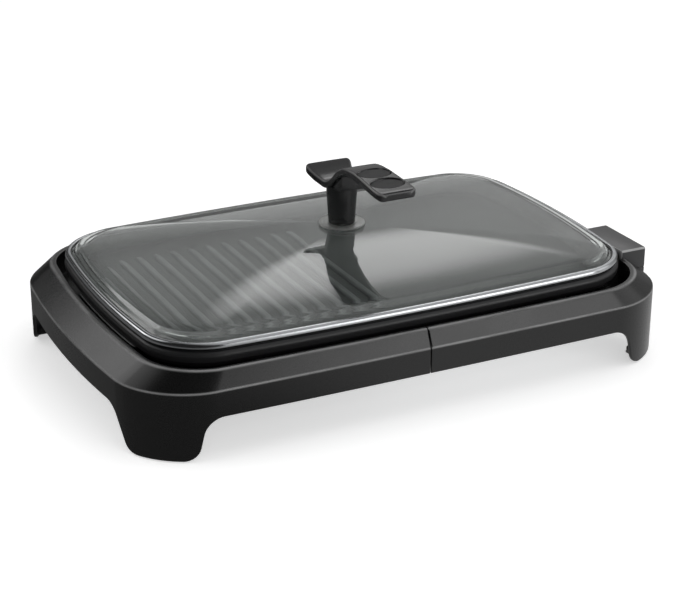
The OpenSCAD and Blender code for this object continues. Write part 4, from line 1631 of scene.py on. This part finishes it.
@dataclass
class Studio:
    """A pale floor, soft lamps, walls that gloss sees in patches, and the camera."""

    softboxes: list[Softbox] = field(
        default_factory=lambda: [
            Softbox("top fill", (0.1, -0.3, 2.1), (2.4, 2.0), 6.0),
            Softbox("front fill", (-0.5, -2.2, 1.1), (2.4, 1.2), 12.0),
            Softbox("left fill", (-2.0, 0.3, 1.2), (1.2, 1.0), 6.0),
        ]
    )
    ambient: float = 0.02  # what gloss and the matt surfaces see between the glows
    glows: list[Glow] = field(
        default_factory=lambda: [
            Glow((0.571, 0.750, 0.334), 0.856, 0.918, 0.48),
            Glow((0.414, 0.677, 0.609), 0.977, 0.999, 3.3),
            Glow((0.497, -0.842, 0.208), 0.969, 0.983, 4.00),
            Glow((-0.405, 0.755, 0.517), 0.971, 0.988, 2.90),
            Glow((0.723, -0.125, 0.679), 0.535, 0.783, 0.45),
            Glow((-0.359, 0.487, 0.796), 0.939, 0.995, 0.45),
            Glow((-0.602, 0.398, 0.693), 0.938, 1.000, 1.13),
            Glow((0.670, 0.706, 0.230), 0.994, 0.997, 0.12),
            Glow((0.849, -0.365, 0.382), 0.912, 0.961, 0.86),
            Glow((0.307, 0.007, 0.952), 0.704, 0.972, 0.39),
        ]
    )
    floor_radius: float = 9.0  # metres
    floor_colour: str = "#fafafa"
    floor_lift: float = 0.5  # light that the floor adds for the camera alone
    floor_gloss: tuple[float, float] = (0.155, 0.69)  # what gloss sees, left and right
    floor_lit: tuple[float, float] = (0.6, -0.8)  # the side of the floor that is lit most
    floor_turn: tuple[float, float] = (0.3, 0.9)  # cosines where it changes from left to right
    floor_through: float = 0.5  # share of the lift that glass sees
    camera_place: tuple[float, float, float] = (-0.710908, -1.424745, 0.714488)
    yaw: float = -0.467964
    pitch: float = 0.399434
    roll: float = 0.005122
    lens: float = 93.35

    def ramp(
        self,
        tree: bpy.types.NodeTree,
        cosine: bpy.types.Node,
        span: tuple[float, float],
        levels: tuple[float, float],
    ) -> bpy.types.NodeSocket:
        """Turns a cosine into a light level that changes smoothly.

        Args:
            tree: The node tree.
            cosine: The dot product's node.
            span: The cosines where the change starts and ends.
            levels: The light levels there.

        Returns:
            The level's socket.
        """
        inputs = {
            "Value": cosine.outputs["Value"], "From Min": span[0], "From Max": span[1],
            "To Min": levels[0], "To Max": levels[1],
        }
        smooth = {"interpolation_type": "SMOOTHSTEP"}
        return add_node(tree, "ShaderNodeMapRange", inputs, **smooth).outputs[0]

    def floor(self) -> None:
        """Lays the floor, whose own light tops up the white that the camera sees.

        Gloss sees a light of the floor's own in place of its lit surface.
        """
        mesh = bmesh.new()
        bmesh.ops.create_circle(mesh, cap_ends=True, segments=96, radius=self.floor_radius)
        piece = make_piece("studio_floor", [mesh])
        material = bpy.data.materials.new("matt white sweep")
        material.use_nodes = True
        tree = material.node_tree
        tree.nodes.clear()
        matt = add_node(tree, "ShaderNodeBsdfDiffuse", {"Color": linear(self.floor_colour)})
        path = add_node(tree, "ShaderNodeLightPath").outputs
        through = add_node(
            tree, "ShaderNodeMath", {0: path["Is Transmission Ray"], 1: self.floor_through},
            operation="MULTIPLY",
        )
        seen = add_node(
            tree, "ShaderNodeMath", {0: path["Is Camera Ray"], 1: through.outputs[0]},
            operation="MAXIMUM",
        )
        lift = add_node(
            tree, "ShaderNodeMath", {0: seen.outputs[0], 1: self.floor_lift},
            operation="MULTIPLY",
        )
        glow = add_node(tree, "ShaderNodeEmission", {"Strength": lift.outputs[0]})
        shadowed = add_node(
            tree, "ShaderNodeAddShader", {0: matt.outputs[0], 1: glow.outputs[0]}
        )
        place = add_node(tree, "ShaderNodeTexCoord").outputs["Object"]
        way = add_node(tree, "ShaderNodeVectorMath", {0: place}, operation="NORMALIZE")
        side = add_node(
            tree, "ShaderNodeVectorMath", {0: way.outputs[0], 1: (*self.floor_lit, 0.0)},
            operation="DOT_PRODUCT",
        )
        level = self.ramp(tree, side, self.floor_turn, self.floor_gloss)
        mirrored = add_node(tree, "ShaderNodeEmission", {"Strength": level})
        both = add_node(
            tree, "ShaderNodeMixShader",
            {0: path["Is Glossy Ray"], 1: shadowed.outputs[0], 2: mirrored.outputs[0]},
        )
        add_node(tree, "ShaderNodeOutputMaterial", {"Surface": both.outputs[0]})
        piece.data.materials.append(material)
        log.info("studio floor laid")

    def walls(self) -> None:
        """Sets the studio's walls: white to the camera, softly uneven in gloss."""
        world = bpy.data.worlds.new("pale studio")
        bpy.context.scene.world = world
        world.use_nodes = True
        tree = world.node_tree
        tree.nodes.clear()
        way = add_node(tree, "ShaderNodeTexCoord").outputs["Generated"]
        level = add_node(tree, "ShaderNodeValue").outputs[0]
        level.default_value = self.ambient
        for glow in self.glows:
            facing = add_node(
                tree, "ShaderNodeVectorMath", {0: way, 1: Vector(glow.toward).normalized()},
                operation="DOT_PRODUCT",
            )
            share = self.ramp(tree, facing, (glow.edge, glow.full), (0.0, glow.strength))
            level = add_node(
                tree, "ShaderNodeMath", {0: level, 1: share}, operation="ADD"
            ).outputs[0]
        path = add_node(tree, "ShaderNodeLightPath").outputs
        seen = add_node(
            tree, "ShaderNodeMath", {0: path["Is Camera Ray"], 1: path["Is Transmission Ray"]},
            operation="MAXIMUM",
        )
        shown = add_node(tree, "ShaderNodeMix", {0: seen.outputs[0], 2: level, 3: 1.0}).outputs[0]
        ground = add_node(tree, "ShaderNodeBackground", {"Strength": shown})
        add_node(tree, "ShaderNodeOutputWorld", {"Surface": ground.outputs[0]})
        log.info("studio walls set")

    def camera(self) -> None:
        """Sets the camera."""
        data = bpy.data.cameras.new("camera")
        data.sensor_width = 36.0
        data.lens = self.lens
        data.clip_start, data.clip_end = 0.05, 50.0
        camera = bpy.data.objects.new("camera", data)
        cy, sy = math.cos(self.yaw), math.sin(self.yaw)
        cp, sp = math.cos(self.pitch), math.sin(self.pitch)
        ahead = Vector((-sy * cp, cy * cp, -sp))
        right = Vector((cy, sy, 0))
        up = right.cross(ahead)
        cr, sr = math.cos(self.roll), math.sin(self.roll)
        right, up = right * cr + up * sr, up * cr - right * sr
        turn = Matrix((right, up, -ahead)).transposed().to_4x4()
        camera.matrix_world = Matrix.Translation(self.camera_place) @ turn
        bpy.context.scene.collection.objects.link(camera)
        bpy.context.scene.camera = camera
        log.info("camera set, %.1f mm lens", self.lens)

    def build(self) -> None:
        """Builds the studio."""
        self.floor()
        self.walls()
        for softbox in self.softboxes:
            softbox.build()
        self.camera()
        bpy.context.scene.view_settings.view_transform = "Standard"


def main() -> None:
    """Builds the grill and its studio."""
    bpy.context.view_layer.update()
    kinds = (BaseFrame, GrillPlate, TerminalSocket, GlassLid, LidHandle, Hardware, Studio)
    for kind in kinds:
        log.info("building %s", kind.__name__)
        kind().build()
    bpy.context.view_layer.update()


if __name__ == "__main__":
    logging.basicConfig(level=logging.INFO, format="%(message)s")
    main()
